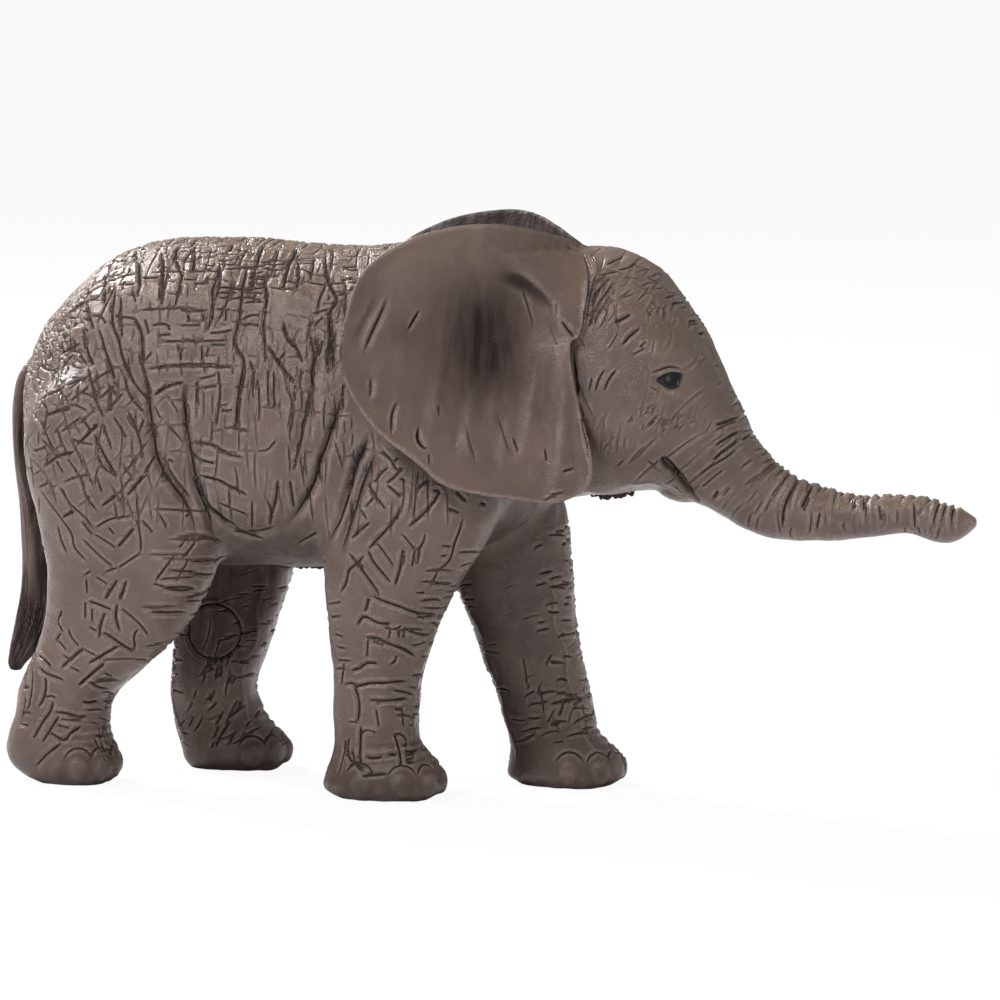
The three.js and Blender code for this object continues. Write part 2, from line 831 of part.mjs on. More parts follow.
function headPiece() {
  const spigot = rodAlongX(
    neckSpigotRadius,
    0,
    neckHeight,
    neckPlace - neckSpigotLength,
    neckPlace + neckSpigotLength,
  );
  const lip = ellipsoid(
    neckPlace + lipShare.along * headLength,
    0,
    lipShare.up * crownHeight,
    lipLength,
    lipWidth,
    lipHeight,
  );
  const eyes = [-1, 1].map((side) =>
    ellipsoid(
      neckPlace + eyeShare.along * headLength,
      (side * eyeShare.out * headWidth) / 2,
      eyeShare.up * crownHeight,
      2 * eyeRadius,
      2 * eyeRadius,
      2 * eyeRadius,
    ),
  );
  const skull = [lip, ...eyes].reduce((sum, bump) => sum.add(bump), headSolid(0));
  const slots = ears.map((ear) => earTab(ear, fit)).reduce((sum, slot) => sum.add(slot));
  return skull.add(spigot).subtract(mouthGroove()).subtract(slots);
}

// Colours of the vinyl and the washes over it
const hide = { color: 0x6f625a, roughness: 0.55, metalness: 0 };
const farHide = { color: 0x5a4d48, roughness: 0.55, metalness: 0 };
const darkHide = { color: 0x4a3f3c, roughness: 0.6, metalness: 0 };

function meshOf(name, solid, finish) {
  const made = solid.getMesh();
  const geometry = new THREE.BufferGeometry();
  geometry.setAttribute("position", new THREE.BufferAttribute(made.vertProperties, made.numProp));
  geometry.setIndex(new THREE.BufferAttribute(made.triVerts, 1));
  geometry.computeVertexNormals();
  const mesh = new THREE.Mesh(geometry, new THREE.MeshStandardMaterial(finish));
  mesh.name = name;
  return mesh;
}

const figure = new THREE.Group();
figure.add(meshOf("torso_right_half", torsoHalf(-1), hide));
figure.add(meshOf("torso_left_half", torsoHalf(1), hide));
figure.add(meshOf("head", headPiece(), hide));
ears.forEach((ear) => figure.add(meshOf(ear.name, earPiece(ear), hide)));
legs.forEach((leg) => {
  const limb = legPiece(leg);
  const piece = leg === plugLeg ? limb.subtract(plugSolid(fit)) : limb;
  figure.add(meshOf(leg.name, piece, leg.side < 0 ? hide : farHide));
});
figure.add(meshOf("tail", tailSolid().subtract(torsoCut).add(tailPeg(0)), darkHide));
figure.add(meshOf("hind_leg_plug", plugSolid(0), farHide));

export default figure;
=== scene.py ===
import math
import bpy
import numpy as np
from mathutils import Matrix, Vector, noise
from mathutils.bvhtree import BVHTree


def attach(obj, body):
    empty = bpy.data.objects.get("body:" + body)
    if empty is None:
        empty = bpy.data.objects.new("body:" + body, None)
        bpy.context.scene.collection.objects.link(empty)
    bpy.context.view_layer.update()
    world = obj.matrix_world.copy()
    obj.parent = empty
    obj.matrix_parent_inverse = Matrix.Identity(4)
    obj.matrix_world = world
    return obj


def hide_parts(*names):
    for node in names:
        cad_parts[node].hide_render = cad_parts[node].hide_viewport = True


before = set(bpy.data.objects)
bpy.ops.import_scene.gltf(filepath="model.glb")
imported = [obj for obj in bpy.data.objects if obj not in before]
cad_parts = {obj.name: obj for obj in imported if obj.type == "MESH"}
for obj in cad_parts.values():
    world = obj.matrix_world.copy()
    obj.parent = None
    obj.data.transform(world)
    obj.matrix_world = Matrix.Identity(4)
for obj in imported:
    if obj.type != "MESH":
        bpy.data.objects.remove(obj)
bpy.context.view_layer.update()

# The view: the animal's right flank, seen from a little ahead of square and a little above its
# knees, with the picture leaning forward. Places on the near side are given as they are seen from
# here, in thousandths of the picture's width, from its upper left corner. Sizes are millimetres.
MM = 0.001
view_turn = math.radians(12)
view_rise = math.radians(5)
view_lean = math.radians(1.4)
view_distance = 650
view_aim = np.array([1.3, 0, 28.2])
picture_width = 1000
picture_scale = 10.4
sensor_width = 36

view_back = np.array([
    math.sin(view_turn) * math.cos(view_rise),
    -math.cos(view_turn) * math.cos(view_rise),
    math.sin(view_rise),
])
level = np.array([math.cos(view_turn), math.sin(view_turn), 0])
upright = np.cross(view_back, level)
view_right = level * math.cos(view_lean) + upright * math.sin(view_lean)
view_up = upright * math.cos(view_lean) - level * math.sin(view_lean)
view_from = view_aim + view_back * view_distance


def set_out(name, data):
    """An object that holds the data, set out in the scene."""
    made = bpy.data.objects.new(name, data)
    bpy.context.scene.collection.objects.link(made)
    return made


camera_data = bpy.data.cameras.new("camera")
camera_data.sensor_width = sensor_width
camera_data.lens = sensor_width * picture_scale * view_distance / picture_width
camera_data.clip_start = 0.05
camera_data.clip_end = 20
camera = set_out("camera", camera_data)
camera.matrix_world = Matrix([
    [view_right[k], view_up[k], view_back[k], view_from[k] * MM] for k in range(3)
] + [[0, 0, 0, 1]])
bpy.context.scene.camera = camera

# The torso: two halves of a soft PVC shell, moulded separately and glued on the middle plane. Its
# sections run from the rump to the neck: top, bottom, half width and height of the widest line.
torso_length = 51.3
torso_width = 26.4
back_height = 52.5
belly_height = 21
rump_reach = 45.7
torso_squareness = 2.25
torso_rows = [
    [0, 0.52, 0.37, 0.18, 0.5],
    [0.012, 0.61, 0.31, 0.35, 0.5],
    [0.033, 0.7, 0.227, 0.5, 0.5],
    [0.075, 0.792, 0.145, 0.66, 0.48],
    [0.133, 0.888, 0.076, 0.79, 0.46],
    [0.21, 0.965, 0.025, 0.9, 0.45],
    [0.325, 1, 0, 0.97, 0.45],
    [0.48, 1, 0, 1, 0.45],
    [0.634, 0.993, 0.01, 0.965, 0.45],
    [0.75, 1.01, 0.03, 0.89, 0.46],
    [0.865, 1.03, 0.07, 0.79, 0.48],
    [0.942, 1.02, 0.135, 0.71, 0.5],
    [1, 0.997, 0.208, 0.667, 0.5],
]


def course(rows, places):
    """The smooth course of rows of a place followed by values, read at the given places."""
    table = np.array(rows, float)
    knots, values = table[:, 0], table[:, 1:]
    slopes = np.gradient(values, knots, axis=0)
    k = np.clip(np.searchsorted(knots, places, side="right") - 1, 0, len(knots) - 2)
    span = knots[k + 1] - knots[k]
    t = ((places - knots[k]) / span)[:, None]
    span = span[:, None]
    return (
        values[k] * (1 + 2 * t) * (1 - t) ** 2
        + values[k + 1] * t ** 2 * (3 - 2 * t)
        + slopes[k] * span * t * (1 - t) ** 2
        - slopes[k + 1] * span * t ** 2 * (1 - t)
    )


def oval(count, squareness):
    """Points round a rounded square of half width one, as two arrays."""
    turns = np.arange(count) * 2 * math.pi / count
    c, s = np.cos(turns), np.sin(turns)
    press = 2 / squareness
    return np.sign(c) * np.abs(c) ** press, np.sign(s) * np.abs(s) ** press


def upright_section(x, top, bottom, half, widest, side, up):
    """A section across the body at x."""
    height = bottom + widest * (top - bottom)
    rise = np.where(up > 0, top - height, height - bottom)
    return np.stack([np.full(len(side), x), side * half, height + up * rise], 1)


def ring_faces(count, around):
    """The four-sided faces between rings of points."""
    k = np.arange(around)
    onward = (k + 1) % around
    base = (np.arange(count - 1) * around)[:, None]
    sides = np.stack([base + k, base + onward, base + around + onward, base + around + k], -1)
    return sides.reshape(-1, 4).tolist()


forms = []


def add_form(name, rings):
    """Keeps a closed form of rings, which the cast below joins with the others."""
    rings = np.asarray(rings)
    count, around = rings.shape[:2]
    ends = np.stack([rings[0].mean(0), rings[-1].mean(0)])
    points = np.concatenate([rings.reshape(-1, 3), ends])
    first, last = count * around, count * around + 1
    final = (count - 1) * around
    faces = ring_faces(count, around)
    corners = range(around)
    faces += [[first, (k + 1) % around, k] for k in corners]
    faces += [[last, final + k, final + (k + 1) % around] for k in corners]
    forms.append((name, points, faces))


torso_places = np.linspace(0, 1, 120) ** 1.3
torso_side, torso_up = oval(128, torso_squareness)
torso_depth = back_height - belly_height
torso_table = course(torso_rows, torso_places)
add_form("torso", [
    upright_section(
        place * torso_length - rump_reach,
        belly_height + top * torso_depth,
        belly_height + bottom * torso_depth,
        half * torso_width / 2,
        widest,
        torso_side,
        torso_up,
    )
    for place, (top, bottom, half, widest) in zip(torso_places, torso_table)
])

# The head and trunk: one moulding that plugs into the neck, with a low domed forehead, a closed
# mouth with a small pointed lip, and a trunk held out in front that ends in a finger.
neck_place = torso_length - rump_reach
head_length = 41.9
crown_height = 52.4
head_width = 18
head_squareness = 2.15
lip_size = (5.4, 5, 3.4)
lip_place = (0.32, 0.579)
head_rows = [
    [0.072, 1.01, 0.55, 0.98, 0.5],
    [0.167, 1.006, 0.558, 1, 0.5],
    [0.227, 0.988, 0.565, 0.97, 0.5],
    [0.282, 0.952, 0.563, 0.9, 0.5],
    [0.317, 0.916, 0.556, 0.83, 0.5],
    [0.353, 0.878, 0.549, 0.76, 0.5],
    [0.389, 0.823, 0.538, 0.68, 0.5],
    [0.425, 0.763, 0.523, 0.59, 0.5],
    [0.463, 0.7, 0.508, 0.51, 0.5],
    [0.499, 0.653, 0.496, 0.45, 0.5],
    [0.57, 0.609, 0.487, 0.385, 0.5],
    [0.64, 0.586, 0.489, 0.34, 0.5],
    [0.709, 0.577, 0.494, 0.305, 0.5],
    [0.778, 0.58, 0.502, 0.275, 0.5],
    [0.847, 0.58, 0.51, 0.25, 0.5],
    [0.916, 0.569, 0.497, 0.24, 0.5],
    [0.95, 0.561, 0.498, 0.21, 0.5],
    [0.983, 0.551, 0.515, 0.14, 0.5],
    [1, 0.543, 0.528, 0.06, 0.5],
]
neck_sizes = torso_table[-1]
head_table_rows = [[
    0,
    belly_height + neck_sizes[0] * torso_depth,
    belly_height + neck_sizes[1] * torso_depth,
    neck_sizes[2] * torso_width / 2,
    neck_sizes[3],
]] + [
    [place, top * crown_height, bottom * crown_height, half * head_width / 2, widest]
    for place, top, bottom, half, widest in head_rows
]
head_places = np.linspace(-0.06, 1, 150)
head_side, head_up = oval(96, head_squareness)
head_table = course(head_table_rows, np.maximum(head_places, 0))
add_form("head", [
    upright_section(neck_place + place * head_length, *sizes, head_side, head_up)
    for place, sizes in zip(head_places, head_table)
])


def add_pebble(name, middle, size, turn=0, around=20):
    """An egg-shaped form, turned about the upright."""
    tall = np.linspace(0.04, math.pi - 0.04, around)
    turns = np.arange(around) * 2 * math.pi / around
    x = np.outer(np.sin(tall), np.cos(turns)) * size[0] / 2
    y = np.outer(np.sin(tall), np.sin(turns)) * size[1] / 2
    z = np.outer(np.cos(tall), np.ones(around)) * size[2] / 2
    c, s = math.cos(turn), math.sin(turn)
    add_form(name, np.stack([
        middle[0] + x * c - y * s, middle[1] + x * s + y * c, middle[2] + z,
    ], -1))


add_pebble(
    "head",
    (neck_place + lip_place[0] * head_length, 0, lip_place[1] * crown_height),
    lip_size,
)

# The legs: four mouldings that plug into sockets in the belly, thick and pillar-like, each caught
# at another point of the stride. The feet are round with blunt nails and flat soles.
leg_height = 40
foot_length = 11.2
leg_breadth = 10
leg_spread = 8.2
leg_squareness = 2.5
nail_size = (1.4, 2.6, 2.5)
nail_height = 1.75
nail_inset = 0.4
leg_facts = {
    "right_fore_leg": {
        "side": -1,
        "place": 0.745,
        "nails": [-0.5, -0.1, 0.3, 0.72, 1.12],
        "rows": [
            [0, -0.375, 0.375, -0.41, 0.41],
            [0.02, -0.5, 0.48, -0.48, 0.48],
            [0.05, -0.5, 0.49, -0.49, 0.49],
            [0.09, -0.465, 0.43, -0.46, 0.46],
            [0.125, -0.44, 0.31, -0.42, 0.42],
            [0.175, -0.45, 0.26, -0.4, 0.4],
            [0.225, -0.455, 0.26, -0.4, 0.4],
            [0.3, -0.46, 0.3, -0.41, 0.41],
            [0.4, -0.505, 0.41, -0.43, 0.44],
            [0.5, -0.55, 0.56, -0.45, 0.46],
            [0.6, -0.59, 0.76, -0.48, 0.47],
            [0.7, -0.61, 0.95, -0.5, 0.46],
            [0.775, -0.58, 0.99, -0.5, 0.43],
            [0.835, -0.47, 0.84, -0.45, 0.37],
            [0.87, -0.2, 0.55, -0.3, 0.27],
        ],
    },
    "left_fore_leg": {
        "side": 1,
        "place": 1.023,
        "nails": [-0.9, -0.5, -0.14, 0.25, 0.66],
        "rows": [
            [0, -0.385, 0.375, -0.41, 0.41],
            [0.02, -0.49, 0.49, -0.48, 0.48],
            [0.05, -0.49, 0.5, -0.49, 0.49],
            [0.09, -0.48, 0.43, -0.46, 0.46],
            [0.125, -0.51, 0.3, -0.42, 0.42],
            [0.175, -0.57, 0.23, -0.4, 0.4],
            [0.225, -0.63, 0.19, -0.4, 0.4],
            [0.3, -0.75, 0.125, -0.41, 0.41],
            [0.4, -0.88, 0.045, -0.43, 0.44],
            [0.5, -1.06, -0.01, -0.45, 0.46],
            [0.6, -1.18, -0.06, -0.48, 0.43],
            [0.7, -1.31, -0.115, -0.5, 0.37],
            [0.775, -1.34, -0.18, -0.5, 0.32],
            [0.835, -1.22, -0.36, -0.45, 0.24],
            [0.87, -0.97, -0.6, -0.3, 0.14],
        ],
    },
    "right_hind_leg": {
        "side": -1,
        "place": 0.123,
        "nails": [-0.35, 0.02, 0.36, 0.74],
        "rows": [
            [0, -0.18, 0.39, -0.38, 0.38],
            [0.015, -0.32, 0.465, -0.44, 0.44],
            [0.038, -0.43, 0.49, -0.47, 0.47],
            [0.07, -0.49, 0.475, -0.47, 0.47],
            [0.105, -0.475, 0.42, -0.44, 0.44],
            [0.16, -0.41, 0.385, -0.4, 0.4],
            [0.213, -0.385, 0.44, -0.4, 0.41],
            [0.255, -0.34, 0.59, -0.41, 0.43],
            [0.315, -0.24, 0.82, -0.42, 0.46],
            [0.375, -0.16, 1.035, -0.43, 0.49],
            [0.45, -0.125, 1.195, -0.45, 0.51],
            [0.545, -0.16, 1.34, -0.48, 0.53],
            [0.65, -0.25, 1.39, -0.5, 0.55],
            [0.75, -0.34, 1.32, -0.5, 0.56],
            [0.85, -0.36, 1.125, -0.5, 0.54],
            [0.95, -0.18, 0.8, -0.45, 0.47],
            [1, 0.09, 0.535, -0.3, 0.38],
        ],
    },
    "left_hind_leg": {
        "side": 1,
        "place": 0.376,
        "nails": [-0.7, -0.3, 0.08, 0.48],
        "rows": [
            [0, -0.39, 0.375, -0.38, 0.38],
            [0.018, -0.445, 0.44, -0.44, 0.44],
            [0.048, -0.47, 0.47, -0.47, 0.47],
            [0.078, -0.5, 0.43, -0.46, 0.46],
            [0.105, -0.53, 0.34, -0.43, 0.43],
            [0.135, -0.55, 0.25, -0.41, 0.41],
            [0.193, -0.59, 0.16, -0.4, 0.4],
            [0.253, -0.58, 0.195, -0.41, 0.42],
            [0.313, -0.56, 0.275, -0.42, 0.45],
            [0.375, -0.59, 0.34, -0.43, 0.48],
            [0.45, -0.7, 0.42, -0.45, 0.51],
            [0.55, -0.91, 0.5, -0.48, 0.53],
            [0.65, -1.14, 0.535, -0.5, 0.55],
            [0.75, -1.3, 0.5, -0.5, 0.56],
            [0.85, -1.37, 0.34, -0.5, 0.54],
            [0.95, -1.23, -0.035, -0.45, 0.47],
            [1, -0.98, -0.36, -0.3, 0.38],
        ],
    },
}


def leg_sizes(leg, heights):
    """Middle x, middle distance out, half length and half breadth of a leg at some heights."""
    rear, front, inner, outer = course(leg["rows"], np.asarray(heights) / leg_height).T
    return (
        leg["place"] * torso_length - rump_reach + (rear + front) / 2 * foot_length,
        leg_spread + (inner + outer) / 2 * leg_breadth,
        (front - rear) / 2 * foot_length,
        (outer - inner) / 2 * leg_breadth,
    )


leg_ahead, leg_aside = oval(80, leg_squareness)
for leg_name, leg in leg_facts.items():
    heights = leg_height * leg["rows"][-1][0] * np.linspace(0, 1, 90) ** 1.25
    add_form(leg_name, [
        np.stack([
            x + leg_ahead * long,
            leg["side"] * (out + leg_aside * wide),
            np.full(len(leg_ahead), z),
        ], 1)
        for z, x, out, long, wide in zip(heights, *leg_sizes(leg, heights))
    ])
    x, out, long, wide = (float(v[0]) for v in leg_sizes(leg, [nail_height]))
    leg["nail_places"] = []
    for quarters in leg["nails"]:
        turn = quarters * math.pi / 2
        c, s = math.cos(turn), math.sin(turn)
        press = 2 / leg_squareness
        place = (
            x + math.copysign(abs(c) ** press, c) * long - nail_inset * c,
            leg["side"] * (out + math.copysign(abs(s) ** press, s) * wide - nail_inset * s),
            nail_height,
        )
        leg["nail_places"].append((place, (c, leg["side"] * s)))
        add_pebble(leg_name, place, nail_size, leg["side"] * turn, 14)

# The ears: thin dished mouldings on a tab in the side of the head. The root follows the head down
# from the crown, the upper lobe folds over a hollow, and the plate below hangs in soft folds.
ear_facts = {
    "right_ear": {"side": -1, "length": 22.5, "height": 26.2, "set_back": 0},
    "left_ear": {"side": 1, "length": 27.2, "height": 26.8, "set_back": 1},
}
ear_notch = (neck_place + 0.116 * head_length, 0.854 * crown_height)
ear_flare = 7.6
ear_stand = 0.9
ear_thickness = 1.5
ear_rim = 0.85
ear_dish = 2.1
ear_outline = [
    [0, 0],
    [-0.03, 0.13],
    [-0.04, 0.237],
    [0.012, 0.29],
    [0.08, 0.33],
    [0.197, 0.375],
    [0.333, 0.402],
    [0.506, 0.388],
    [0.678, 0.338],
    [0.845, 0.231],
    [0.924, 0.036],
    [0.93, -0.13],
    [0.8, -0.322],
    [0.62, -0.451],
    [0.48, -0.545],
    [0.215, -0.587],
    [0.057, -0.595],
    [-0.055, -0.533],
    [-0.07, -0.44],
    [-0.012, -0.25],
    [0.03, -0.032],
]
ear_middle = np.array([0.42, -0.08])


def smooth(value, low, high):
    """Goes softly from 0 at low to 1 at high, whichever is the larger."""
    t = np.clip((value - low) / (high - low), 0, 1)
    return t * t * (3 - 2 * t)


def closed_curve(knots, count):
    """Points along a smooth closed curve through the knots."""
    p = np.array(knots, float)
    at = np.arange(count) * len(p) / count
    k = at.astype(int)
    t = (at - k)[:, None]
    a, b, c, d = (p[(k + shift) % len(p)] for shift in (-1, 0, 1, 2))
    return 0.5 * (
        2 * b + (c - a) * t + (2 * a - 5 * b + 4 * c - d) * t ** 2
        + (3 * b - a - 3 * c + d) * t ** 3
    )


# The half width, middle height and half height of the head behind the ears, which they follow.
head_half, head_middle, head_half_tall = 8.92, 40.94, 11.91


def ear_sheet(ear, reach, depth):
    """A ring of the ear at a reach from its middle to its rim, a depth under its outer face."""
    rim = closed_curve(ear_outline, 220)
    back, up = (ear_middle + (rim - ear_middle) * reach).T
    height = ear_notch[1] + up * ear["height"]

    # The root stands off the head by the same gap all the way down, and the plate flares from it.
    above = np.clip((height - head_middle) / head_half_tall, 0, 1)
    lean = head_half * (1 - (1 - above ** head_squareness) ** (1 / head_squareness))
    root = head_half + ear_stand - lean * (1 - smooth(back, 0, 0.4))
    flared = ear_flare * np.sin(math.pi / 2 * np.clip(back, 0, 1))
    dished = ear_dish * (1 - reach ** 2)

    # The folded lobe above, the hollow under it, the bank along the root, and the hanging folds.
    crease = up + 0.01 - 0.25 * smooth(back, 0.02, 0.32)
    lobe = 0.85 * smooth(crease, -0.05, 0.08) * smooth(back, 0.46, 0.22) * (1 - reach ** 6)
    hollow = 1.3 * np.exp(-((back - 0.27) / 0.14) ** 2 - ((up + 0.02) / 0.22) ** 2)
    bank = 0.6 * np.exp(-((back - 0.06) / 0.06) ** 2) * smooth(-up, -0.02, 0.12)
    folds = np.sin(back * 52 + 2.2 * np.sin(up * 6)) + 0.7 * np.sin(back * 83 + up * 11 + 1)
    hang = 0.13 * folds * smooth(-up, -0.1, 0.3) * (1 - reach ** 4)
    curl = 0.5 * smooth(reach, 0.9, 1) * smooth(back, 0.5, 0.9)
    out = root + flared - dished + lobe - hollow + bank + hang + curl - depth
    return np.stack([
        ear_notch[0] - ear["set_back"] - back * ear["length"], ear["side"] * out, height,
    ], 1)


for ear_name, ear in ear_facts.items():
    reaches = np.linspace(0.03, 1, 40)
    thick = ear_thickness + (ear_rim - ear_thickness) * reaches ** 3
    faces_out = [ear_sheet(ear, reach, 0) for reach in reaches]
    rounding = [ear_sheet(ear, 1.006, t) for t in (0.25 * ear_rim, 0.75 * ear_rim)]
    faces_in = [ear_sheet(ear, reach, t) for reach, t in zip(reaches, thick)]
    add_form(ear_name, faces_out + rounding + faces_in[::-1])

# The tail: a thin flat moulding of the same soft vinyl, close against the thigh, with a flat tuft.
# A peg at its root is pushed into the rump and glued.
tail_length = 31.6
tail_width = 2
tail_root = (0.006 * torso_length - rump_reach, belly_height + 0.637 * torso_depth)
tail_rows = [
    [0, -0.03, 0.7, 0.9],
    [0.08, 0.018, 0.9, 1.1],
    [0.16, 0.036, 0.9, 1.1],
    [0.24, 0.04, 0.8, 1],
    [0.35, 0.032, 0.8, 0.95],
    [0.47, 0.005, 1.15, 0.85],
    [0.6, -0.018, 1.55, 0.8],
    [0.757, -0.026, 1.8, 0.8],
    [0.855, -0.01, 1.8, 1],
    [0.95, 0.025, 1.2, 1.1],
    [0.985, 0.041, 0.75, 0.9],
    [1, 0.041, 0.5, 0.7],
]
tail_drops = np.linspace(0, 1, 90)
tail_ahead, tail_aside = oval(40, 2.2)
add_form("tail", [
    np.stack([
        tail_root[0] - behind * tail_length + tail_ahead * deep * tail_width / 2,
        tail_aside * wide * tail_width / 2,
        np.full(len(tail_ahead), tail_root[1] - drop * tail_length),
    ], 1)
    for drop, (behind, deep, wide) in zip(tail_drops, course(tail_rows, tail_drops))
])

# The sculpt that the moulds were cut from: all the forms as one skin, softened where limbs meet
# the body. It is carved and painted whole and parted into the mouldings at the end.
coarse_grain = 0.2
grain = 0.175
form_points = np.concatenate([points for _, points, _ in forms])
form_starts = np.cumsum([0] + [len(points) for _, points, _ in forms])
form_faces = [
    [corner + int(start) for corner in face]
    for start, (_, _, faces) in zip(form_starts, forms) for face in faces
]
form_names = sorted({name for name, _, _ in forms})
face_form = np.concatenate([
    np.full(len(faces), form_names.index(name)) for name, _, faces in forms
])

rough_mesh = bpy.data.meshes.new("rough_cast")
rough_mesh.from_pydata(form_points.tolist(), [], form_faces)
rough = set_out("rough_cast", rough_mesh)
joining = rough.modifiers.new("joining", "REMESH")
joining.mode = "VOXEL"
joining.voxel_size = grain
joined = bpy.data.meshes.new_from_object(
    rough.evaluated_get(bpy.context.evaluated_depsgraph_get())
)
points = np.zeros(len(joined.vertices) * 3)
joined.vertices.foreach_get("co", points)
points = points.reshape(-1, 3)
edges = np.zeros(len(joined.edges) * 2, int)
joined.edges.foreach_get("vertices", edges)
edge_a, edge_b = edges.reshape(-1, 2).T
corners = np.zeros(len(joined.loops), int)
joined.loops.foreach_get("vertex_index", corners)
quads = corners.reshape(-1, 4)
bpy.data.objects.remove(rough)
bpy.data.meshes.remove(rough_mesh)
bpy.data.meshes.remove(joined)
count = len(points)
links = np.bincount(edge_a, minlength=count) + np.bincount(edge_b, minlength=count)
ends = np.concatenate([edge_a, edge_b])
by_end = np.argsort(ends, kind="stable")
places_beside = np.arange(len(ends)) - (np.cumsum(links) - links)[ends[by_end]]
beside = np.repeat(np.arange(count)[:, None], links.max(), 1)
beside[ends[by_end], places_beside] = np.concatenate([edge_b, edge_a])[by_end]


def around_mean(values, rows):
    """The mean of the neighbours of the given points."""
    unused = links.max() - links[rows]
    total = values[beside[rows]].sum(1)
    if values.ndim > 1:
        return (total - unused[:, None] * values[rows]) / links[rows][:, None]
    return (total - unused * values[rows]) / links[rows]


def soften(values, share, turns):
    """Draws each point towards its neighbours by its share, some number of times."""
    values = values.copy()
    share = np.broadcast_to(share, count)
    rows = np.flatnonzero(share > 0.001)
    weight = share[rows].reshape(-1, *[1] * (values.ndim - 1))
    for _ in range(turns):
        values[rows] += weight * (around_mean(values, rows) - values[rows])
    return values


def spread(seeds, rings):
    """Falls from 1 at the seeded points to 0 at a number of rings of neighbours away."""
    hops = np.where(seeds, 0, rings)
    for k in range(1, rings):
        inside = hops < k
        reached = np.zeros(count, bool)
        reached[edge_a[inside[edge_b]]] = True
        reached[edge_b[inside[edge_a]]] = True
        hops = np.where(reached & (hops > k), k, hops)
    return smooth(1 - hops / rings, 0, 1)


def facings():
    """The outward direction of the skin at each point."""
    p = points[quads]
    normals = np.cross(p[:, 2] - p[:, 0], p[:, 3] - p[:, 1])
    total = np.stack([
        sum(np.bincount(quads[:, k], normals[:, axis], count) for k in range(4))
        for axis in range(3)
    ], 1)
    return total / np.maximum(np.linalg.norm(total, axis=1), 1e-12)[:, None]


form_tree = BVHTree.FromPolygons(form_points.tolist(), form_faces)
nearest_form = face_form[[form_tree.find_nearest(p)[2] for p in points.tolist()]]
of_ear = np.isin(nearest_form, [form_names.index(name) for name in ear_facts])
of_leg = np.isin(nearest_form, [form_names.index(name) for name in leg_facts])
of_head = nearest_form == form_names.index("head")
of_tail = nearest_form == form_names.index("tail")
of_torso = nearest_form == form_names.index("torso")


def meeting(one, other):
    """The points where two sets of points meet."""
    met = np.zeros(count, bool)
    across = (one[edge_a] & other[edge_b]) | (one[edge_b] & other[edge_a])
    met[edge_a[across]] = True
    met[edge_b[across]] = True
    return met


def softened_join(one, other, reach, share, turns, floor_and_top=None):
    """The skin with one join softened over a reach, or only from a height up."""
    join = spread(meeting(one, other), int(reach / grain))
    if floor_and_top:
        join = join * smooth(points[:, 2], *floor_and_top)
    return soften(points, share * join, turns)


finer = (coarse_grain / grain) ** 2
points = soften(points, 0.5, 3)
points = softened_join(of_leg, ~of_leg & ~of_ear & ~of_tail, 3.4, 0.55, int(110 * finer))
points = softened_join(of_head, of_torso, 3, 0.55, int(60 * finer))
points = softened_join(of_ear, of_head, 0.8, 0.5, 12)
points = softened_join(of_leg, of_torso, 5, 0.55, int(160 * finer), (30, 36))
points = softened_join(of_tail, of_torso, 2.2, 0.5, int(60 * finer))

# The anatomy under the skin, on both sides: bones and muscles that stand out, and hollows between
# them. Each is a place in the picture, a radius and a height.
skin_tree = BVHTree.FromPolygons(points.tolist(), quads.tolist())


def from_outside(px, py):
    """The spot on the skin that is seen at a place in the picture, and its facing."""
    half = picture_width / 2
    ray = view_right * (px - half) + view_up * (half - py)
    ray = ray / (picture_scale * view_distance) - view_back
    spot, normal, _, _ = skin_tree.ray_cast(view_from, Vector(ray).normalized())
    return None if spot is None else (np.array(spot), np.array(normal))


belly_and_shoulder = (26, 48)
far_lead = 13


def on_other_side(found, ahead=0):
    """The matching spot on the left side, moved ahead low down where the limbs differ."""
    spot = found[0] * (1, -1, 1)
    low, high = belly_and_shoulder
    spot[0] += ahead * float(smooth(spot[2], high, low))
    match, normal, _, _ = skin_tree.find_nearest(spot)
    return np.array(match), np.array(normal)


swells = [
    ((92, 330), 6, 0.5),
    ((105, 470), 8, 0.5),
    ((60, 600), 4, 0.3),
    ((170, 560), 4, 0.35),
    ((222, 420), 6, -0.5),
    ((262, 480), 6, 0.6),
    ((290, 330), 9, -0.4),
    ((345, 470), 3.4, -0.6),
    ((395, 500), 5, 0.45),
    ((352, 545), 3, 0.3),
    ((460, 560), 4, 0.3),
    ((632, 425), 4.2, 0.5),
    ((640, 335), 3.2, -0.45),
    ((662, 352), 2.2, 0.5),
    ((670, 381), 1.5, -0.45),
    ((664, 404), 2, 0.35),
    ((716, 440), 4, 0.35),
    ((634, 478), 2.4, 0.3),
    ((655, 491), 2.6, -0.6),
]
facing = facings()
rise = np.zeros(count)
for (px, py), radius, height in swells:
    near_side = from_outside(px, py)
    for spot, normal in (near_side, on_other_side(near_side, far_lead)):
        away = np.linalg.norm(points - spot, axis=1)
        same = smooth(facing @ normal, 0, 0.5)
        rise += height * np.exp(-(away / radius) ** 2) * same
uneven_height = 0.16
uneven = np.array([
    noise.noise(Vector(p) * 0.28) + 0.45 * noise.noise(Vector(p) * 0.7) for p in points.tolist()
])
rise += uneven_height * uneven * np.where(of_ear | of_tail, 0.3, 1)
points = points + facing * rise[:, None]
points[:, 2] = np.maximum(points[:, 2], 0)
facing = facings()
skin_tree = BVHTree.FromPolygons(points.tolist(), quads.tolist())

